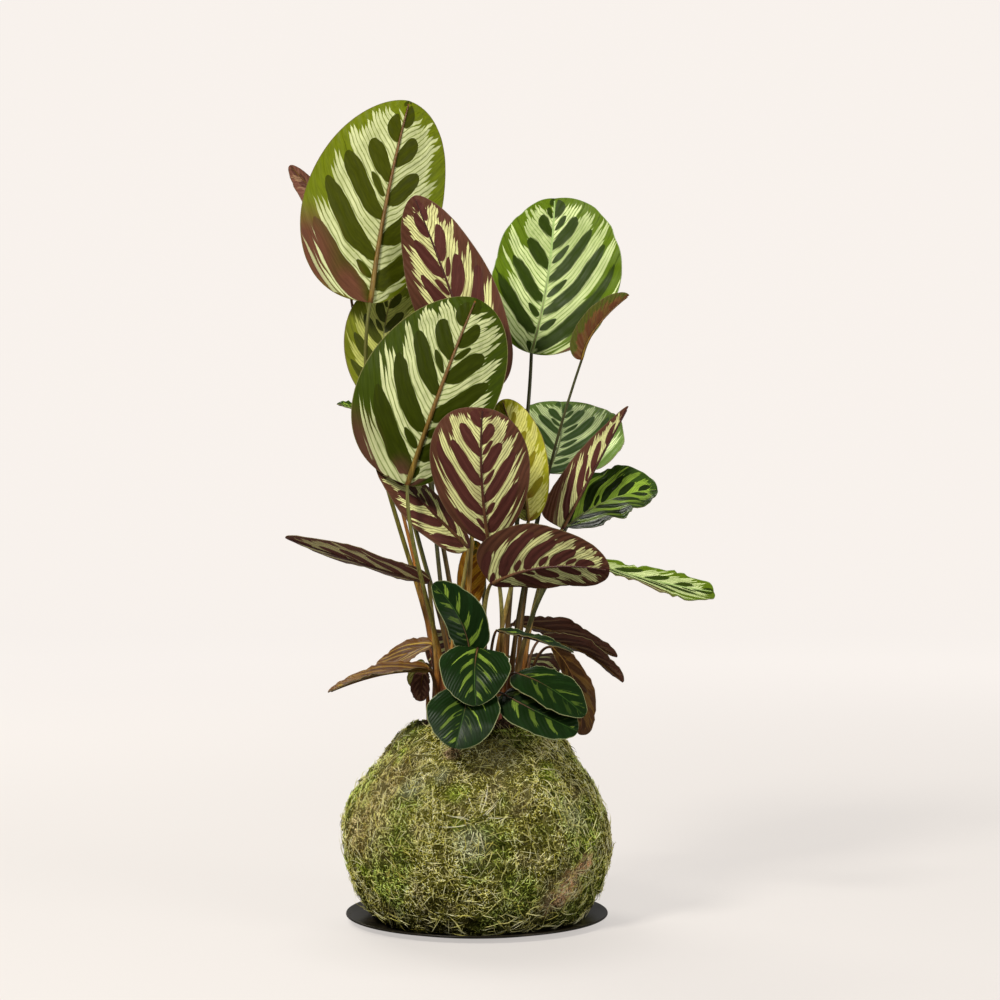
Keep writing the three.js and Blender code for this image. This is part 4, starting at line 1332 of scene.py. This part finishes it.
def build_moss_colour():
    inputs = [("Shade", "Float", 0.5)]
    group, given, result = new_group("Moss colour", inputs, [("Color", "Color")])
    shade = given["Shade"]
    place = object_place(group)
    broad = grain(place, 22, 3)
    patches = grain(place, 55, 3)
    colour = ramp_of(shade, MOSS_STOPS)
    dry = soft_step(patches, 0.48, 0.66, 0.0, 0.75)
    colour = mix(dry, colour, mix(shade, *DRY_PATCH))
    green = soft_step(broad, 0.46, 0.62, 0.0, 0.75)
    colour = mix(green, colour, mix(shade, *GREEN_PATCH))
    for kind, centre, radius in MOSS_PLACES:
        near = nearness(place, patches, centre, radius)
        colour = mix(near, colour, mix(shade, *MOSS_KINDS[kind]))
    # Painted shade: darker low down, where the ball sits in the dish.
    painted_low_shade = soft_step(part_of(place, "Z"), *PAINTED_LOW_SHADE_HEIGHTS, PAINTED_LOW_SHADE_SHARE, 0.0)
    join(mix(painted_low_shade, colour, PAINTED_LOW_SHADE_COLOUR), result["Color"])
    return group


moss_colour = build_moss_colour()
print("moss colour:", len(moss_colour.nodes), "nodes")

# %% The ball's mat
MOSS_THICK = 9
MAT_DEPTH = 1.6
MAT_STEPS = 260
CRUMB_RELIEF = 0.6
# Painted shade: the mat is mixed towards near black, so the gaps between the shoots read dark.
PAINTED_GAP_SHADE = (0.010, 0.010, 0.001)
PAINTED_GAP_SHADE_SHARE = 0.8


def moss_mat():
    outer = inset_profile(outer_profile, MAT_DEPTH)
    inner = inset_profile(BALL_PROFILE[::2], MOSS_THICK)[::-1]
    section = [(0, outer[0][1])] + outer + inner + [(0, inner[-1][1])]
    bm = spun(section, MAT_STEPS)
    outside = {(round(radius, 2), round(height, 2)) for radius, height in outer[1:-1]}
    for v in bm.verts:
        radius = math.hypot(v.co.x, v.co.y)
        if (round(radius, 2), round(v.co.z, 2)) in outside:
            crumb = CRUMB_RELIEF * noise.noise(v.co / 1.7)
            push = mound(math.atan2(v.co.y, v.co.x), v.co.z) + lumps(v.co) + crumb
            v.co += (v.co - Vector((0, 0, BALL_HEART))).normalized() * push
    return bm


def mat_finish():
    material, tree, sockets = new_material("moss_mat", roughness=0.95, specular=0.05)
    fibres = grain(object_place(tree), 1100, 4, 0.7)
    shade = soft_step(fibres, 0.3, 0.75, 0.0, 0.8)
    colour = place_group(tree, moss_colour, shade=shade)["Color"]
    # Painted shade between the shoots.
    join(mix(PAINTED_GAP_SHADE_SHARE, colour, PAINTED_GAP_SHADE), sockets["Base Color"])
    join(bump(fibres, 0.001, 1.0), sockets["Normal"])
    return material


mat = finish_mesh("fine_moss_mat", moss_mat(), [mat_finish()])
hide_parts("moss_cover")
print("moss mat faces:", len(mat.data.polygons))

# %% [markdown]
# ## Shoots and threads
# One shoot is a three-sided cone, cut across a few times so that it can bend. An operator for each of
# the thousands would take minutes, so the cone is made once with operators, and numpy bends and places its
# copies. Each copy keeps a shade of its own in an attribute, painted darker towards its foot for shade, which
# the finish turns into a light or dark shoot. The scatter is seeded, so every run gives the same ball.

# %% One shoot, and places for its copies
ROOT_RISE = 0.35
SKIN_STEP = 0.004
rng = np.random.default_rng(20)


def shoot_shape(cuts):
    bm = bmesh.new()
    bmesh.ops.create_cone(bm, cap_ends=True, segments=3, radius1=1, radius2=0, depth=1)
    bmesh.ops.translate(bm, verts=bm.verts, vec=(0, 0, 0.5))
    long_edges = [e for e in bm.edges if abs(e.verts[0].co.z - e.verts[1].co.z) > 0.5]
    bmesh.ops.subdivide_edges(bm, edges=long_edges, cuts=cuts)
    for v in bm.verts:
        v.co.xy *= (1 - v.co.z ** 2) / max(1 - v.co.z, 0.01) if v.co.z < 0.99 else 1
    bmesh.ops.recalc_face_normals(bm, faces=bm.faces[:])
    mesh = bpy.data.meshes.new("shoot")
    bm.to_mesh(mesh)
    bm.free()
    return mesh


def skin_points(count, low, high):
    """Random radii and heights on the ball's profile, evenly by area, with the way out from it there."""
    profile = np.array(outer_profile)
    steps = np.linalg.norm(np.diff(profile, axis=0), axis=1)
    areas = np.concatenate([[0], np.cumsum(steps * (profile[:-1, 0] + profile[1:, 0]))])
    chosen = rng.uniform(low, high, count) * areas[-1]
    radius = np.interp(chosen, areas, profile[:, 0])
    height = np.interp(chosen, areas, profile[:, 1])
    ahead = np.interp(chosen + areas[-1] * SKIN_STEP, areas, profile[:, 0]) - radius
    climb = np.interp(chosen + areas[-1] * SKIN_STEP, areas, profile[:, 1]) - height
    size = np.hypot(ahead, climb) + 1e-9
    return radius, height, climb / size, -ahead / size


def ball_places(count, low=0.0, high=1.0):
    """Random places on the mounds and lumps of the ball, with the way out from it there."""
    radius, height, out_r, out_z = skin_points(count, low, high)
    angle = rng.uniform(-math.pi, math.pi, count)
    relief = np.array([mound(a, h) for a, h in zip(angle, height)])
    radius += out_r * (relief - MAT_DEPTH)
    height += out_z * (relief - MAT_DEPTH)
    ring = np.stack([np.cos(angle), np.sin(angle), np.zeros(count)], axis=1)
    upright = np.array([0, 0, 1])
    places = ring * radius[:, None] + upright * height[:, None]
    out = ring * out_r[:, None] + upright * out_z[:, None]
    rise = np.array([lumps(Vector(place)) for place in places])
    return places + out * (rise[:, None] + ROOT_RISE), out


print("triangles in a shoot:", [len(shoot_shape(cuts).polygons) for cuts in (1, 2, 4)])

# %% Bending the copies
DISH_RADII = [0, 79, 99, 101]
DISH_HEIGHTS = [1.5, 1.6, 6.0, 6.0]
SWAY_SHARE = 0.22
NOD_SHARE = 0.10


def unit(vectors):
    return vectors / np.linalg.norm(vectors, axis=1, keepdims=True)


def bent_copies(local, places, out, lift, length, radius, curl, droop, centre):
    """The points of all copies of a shoot. Each lies along the skin, lifts off it, sways, nods and droops."""
    count = len(places)
    flat = unit(np.cross(out, unit(rng.normal(size=(count, 3)))))
    if centre is not None:
        flat = unit(places - centre)
    lift = rng.uniform(*lift, count)[:, None]
    ahead = flat * np.cos(lift) + out * np.sin(lift)
    side = unit(np.cross(ahead, out) + 1e-6)
    over = np.cross(side, ahead)
    length = rng.uniform(*length, count)[:, None]
    radius = rng.uniform(*radius, count)[:, None]
    bend = rng.normal(0, curl, (count, 2))
    phase = rng.uniform(0, math.tau, count)[:, None]
    x, y, z = local.T[:, None, :]
    sway = (np.sin(phase + z * bend[:, :1] * 3) - np.sin(phase)) * length * SWAY_SHARE
    nod = np.cos(phase + z * bend[:, 1:] * 3) - np.cos(phase)
    dip = -droop * z * z * length + nod * length * NOD_SHARE
    points = places[:, None, :] + ahead[:, None, :] * (z * length)[:, :, None]
    points += side[:, None, :] * (sway + x * radius)[:, :, None]
    return points + over[:, None, :] * (dip + y * radius)[:, :, None]


def keep_above_dish(points):
    floor = np.interp(np.hypot(points[:, :, 0], points[:, :, 1]), DISH_RADII, DISH_HEIGHTS)
    points[:, :, 2] = np.maximum(points[:, :, 2], floor)


print("a shoot sways by up to", SWAY_SHARE, "and nods by up to", NOD_SHARE, "of its length")


# %% One piece of many copies
# Painted shade: a shoot's colour darkens towards its foot, deep in the moss.
PAINTED_ROOT_SHADE = 0.22
# Most shoots are either quite dark or quite light.
SHADE_SPREAD = (0.9, 0.8)


def mesh_of_copies(name, shape, points):
    """A mesh with the faces of the shape once for each copy."""
    count, corners = points.shape[:2]
    faces = np.array([v for f in shape.polygons for v in f.vertices])
    sizes = np.array([len(f.vertices) for f in shape.polygons])
    total = np.arange(count)[:, None] * corners + faces[None, :]
    starts = np.concatenate([[0], np.cumsum(np.tile(sizes, count))[:-1]])
    mesh = bpy.data.meshes.new(name)
    mesh.vertices.add(count * corners)
    mesh.vertices.foreach_set("co", (points * MM).astype(np.float32).ravel())
    mesh.loops.add(total.size)
    mesh.loops.foreach_set("vertex_index", total.astype(np.int32).ravel())
    mesh.polygons.add(count * len(sizes))
    mesh.polygons.foreach_set("loop_start", starts.astype(np.int32))
    mesh.update(calc_edges=True)
    return mesh


def grow(name, places, out, cuts, finish, centre=None, **habit):
    """Places a bent copy of the shoot at each place, and joins them in one piece."""
    shape = shoot_shape(cuts)
    local = np.array([v.co for v in shape.vertices])
    points = bent_copies(local, places, out, centre=centre, **habit)
    keep_above_dish(points)
    mesh = mesh_of_copies(name, shape, points)
    shade = mesh.attributes.new("shade", "FLOAT", "POINT")
    # Painted shade: darker towards the foot of each shoot.
    painted_shade_rise = PAINTED_ROOT_SHADE + (1 - PAINTED_ROOT_SHADE) * local[None, :, 2] ** 0.7
    own = rng.beta(*SHADE_SPREAD, len(places))[:, None] * painted_shade_rise
    shade.data.foreach_set("value", own.astype(np.float32).ravel())
    mesh.validate()
    piece = piece_of(mesh, [finish])
    print(name, "triangles:", triangles_of(piece))
    return piece


print("a shoot's foot has", PAINTED_ROOT_SHADE, "of its tip's shade")


# %% Finishes for shoots and threads
SPECKLE_MEAN = 1.53
SPECKLE_GAIN = 1.3


def shoot_finish(name):
    material, tree, sockets = new_material(name, roughness=0.85, specular=0.03)
    place = object_place(tree)
    speckle = grain(place, 700, 2) + grain(place, 240, 2)
    speckle = grain(place, 62, 2) * 1.2 + speckle
    speckle = (speckle - SPECKLE_MEAN) * SPECKLE_GAIN
    shade = soft_step(attribute(tree, "shade") + speckle, 0.0, 1.0)
    colour = place_group(tree, moss_colour, shade=shade)["Color"]
    join(colour, sockets["Base Color"])
    join(bump(grain(place, 2500, 2), 0.0002, 0.5), sockets["Normal"])
    return material


def thread_finish(name, dark, light, faded):
    material, tree, sockets = new_material(name, roughness=0.7, specular=0.08)
    colour = mix(attribute(tree, "shade"), dark, light)
    fade = grain(object_place(tree), 140, 3)
    colour = mix(soft_step(fade, 0.35, 0.7, 0.0, 0.45), colour, faded)
    join(colour, sockets["Base Color"])
    return material


turf_finish = shoot_finish("moss_turf")
dry_finish = thread_finish("dry_threads", (0.44, 0.38, 0.06), (1.0, 0.98, 0.68), (0.60, 0.58, 0.11))
star_finish = thread_finish("pale_threads", (0.72, 0.68, 0.42), (1.0, 0.98, 0.82), (0.8, 0.76, 0.5))
print("finishes:", turf_finish.name, dry_finish.name, star_finish.name)

# %% [markdown]
# The shoots lie on the mat in layers: short turf that stands up, longer tangled shoots that lie down, and a
# few long dry threads. Together they give the ball its fine broken surface and its soft outline. Lengths
# and radii are in millimetres, and the lift off the skin is in radians.

# %% The layers of shoots
TURF_HABIT = dict(lift=(0.05, 0.45), length=(1.7, 3.9), radius=(0.22, 0.38), curl=1.0, droop=0.18)
TANGLE_HABIT = dict(lift=(0.02, 0.22), length=(3.5, 8.5), radius=(0.22, 0.36), curl=0.9, droop=0.18)
THREAD_HABIT = dict(lift=(0.03, 0.14), length=(6, 18), radius=(0.20, 0.34), curl=0.7, droop=0.11)
STRAW_HABIT = dict(lift=(0.06, 0.22), length=(6, 17), radius=(0.32, 0.46), curl=0.6, droop=0.16)
# How many shoots, how often each is cut across, its finish and its habit.
LAYERS = {
    "moss_turf": (19000, 1, turf_finish, TURF_HABIT),
    "moss_upper_turf": (19000, 1, turf_finish, TURF_HABIT),
    "moss_tangle": (6000, 2, turf_finish, TANGLE_HABIT),
    "moss_threads": (3000, 4, dry_finish, THREAD_HABIT),
    "moss_straws": (1500, 4, dry_finish, STRAW_HABIT),
}
for layer, (count, cuts, finish, habit) in LAYERS.items():
    places, out = ball_places(count)
    grow(layer, places, out, cuts, finish, **habit)

# %% [markdown]
# A few pale threads run out from one place at the front, like a star.

# %% The star of threads
STAR_PLACE = np.array([1.0, -98.0, 88.0])
STAR_RADIUS = 9
STAR_THREADS = 30
STAR_TRIES = 60000
STAR_BAND = (0.3, 0.8)
STAR_HABIT = dict(lift=(0.14, 0.28), length=(10, 24), radius=(0.36, 0.50), curl=0.4, droop=0.16)

star_places, star_out = ball_places(STAR_TRIES, *STAR_BAND)
star_gaps = np.linalg.norm(star_places - STAR_PLACE, axis=1)
in_star = np.flatnonzero(star_gaps < STAR_RADIUS)[:STAR_THREADS]
grow(
    "moss_star", star_places[in_star], star_out[in_star], 4, star_finish, centre=STAR_PLACE, **STAR_HABIT,
)

# %% [markdown]
# ## The soil
# Between the stems the moss is open, and dark crumbly soil shows with fibres of root and bark. Its
# dome is spun, then roughened, and crumbs of soil lie on it. The holes round the stems stay in the solid
# part: real soil closes round a stem, so the dome here meets them.

# %% Soil dome and crumbs
SOIL_SECTION = [
    (0, 110), (40, 112), (50, 120), (49, 133), (46, 143), (41, 149), (34, 152), (24, 153.6), (12, 154.7),
    (0, 155),
]
# The part of the section from the middle of the dome to its rim, on which crumbs lie.
DOME_TOP = SOIL_SECTION[4:][::-1]
SOIL_STEPS = 110
ROUGH_FROM = 125
CRUMBS = 420
CRUMB_SIZES = (0.6, 1.9)


def soil_finish():
    material, tree, sockets = new_material("dark_soil", roughness=0.95, specular=0.05)
    place = object_place(tree)
    crumbs = grain(place, 420, 4, 0.65)
    bark = soft_step(grain(place, 260, 2), 0.58, 0.68)
    colour = mix(crumbs, (0.007, 0.005, 0.003), (0.065, 0.040, 0.022))
    join(mix(bark, colour, (0.11, 0.055, 0.025)), sockets["Base Color"])
    join(bump(crumbs, 0.0015, 1.0), sockets["Normal"])
    return material


def lay_crumb(bm):
    """One squashed crumb, somewhere on the dome."""
    angle = rng.uniform(0, math.tau)
    radius = DOME_TOP[-1][0] * math.sqrt(rng.uniform(0, 1))
    height = np.interp(radius, *zip(*DOME_TOP))
    size = rng.uniform(*CRUMB_SIZES)
    crumb = bmesh.ops.create_icosphere(bm, subdivisions=1, radius=size)["verts"]
    squash = Matrix.Diagonal((1, rng.uniform(0.6, 1), rng.uniform(0.5, 0.9), 1))
    turn = Quaternion(Vector(rng.normal(size=3)).normalized(), rng.uniform(0, 3)).to_matrix().to_4x4()
    put = Matrix.Translation((radius * math.cos(angle), radius * math.sin(angle), height + size * 0.3))
    bmesh.ops.transform(bm, matrix=put @ turn @ squash, verts=crumb)


def soil_dome():
    bm = spun(smooth_profile(SOIL_SECTION, 5), SOIL_STEPS)
    for v in bm.verts:
        if v.co.z > ROUGH_FROM:
            rough = noise.noise(v.co / 6) * 1.3 + noise.noise(v.co / 2.2) * 0.7
            v.co += Vector((v.co.x, v.co.y, 60)).normalized() * rough
    for _ in range(CRUMBS):
        lay_crumb(bm)
    return bm


soil = finish_mesh("fine_soil", soil_dome(), [soil_finish()])
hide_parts("soil_ball")
print("soil faces:", len(soil.data.polygons))

# %% [markdown]
# ## Finish
# The boxes of the plain part and of the dressed one are printed, so that the size can be compared.

# %% Print the sizes and finish
visual_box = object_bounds()
boxes = {"cad": [list(corner) for corner in cad_box], "visual": [list(corner) for corner in visual_box]}
print("sizes:", boxes)
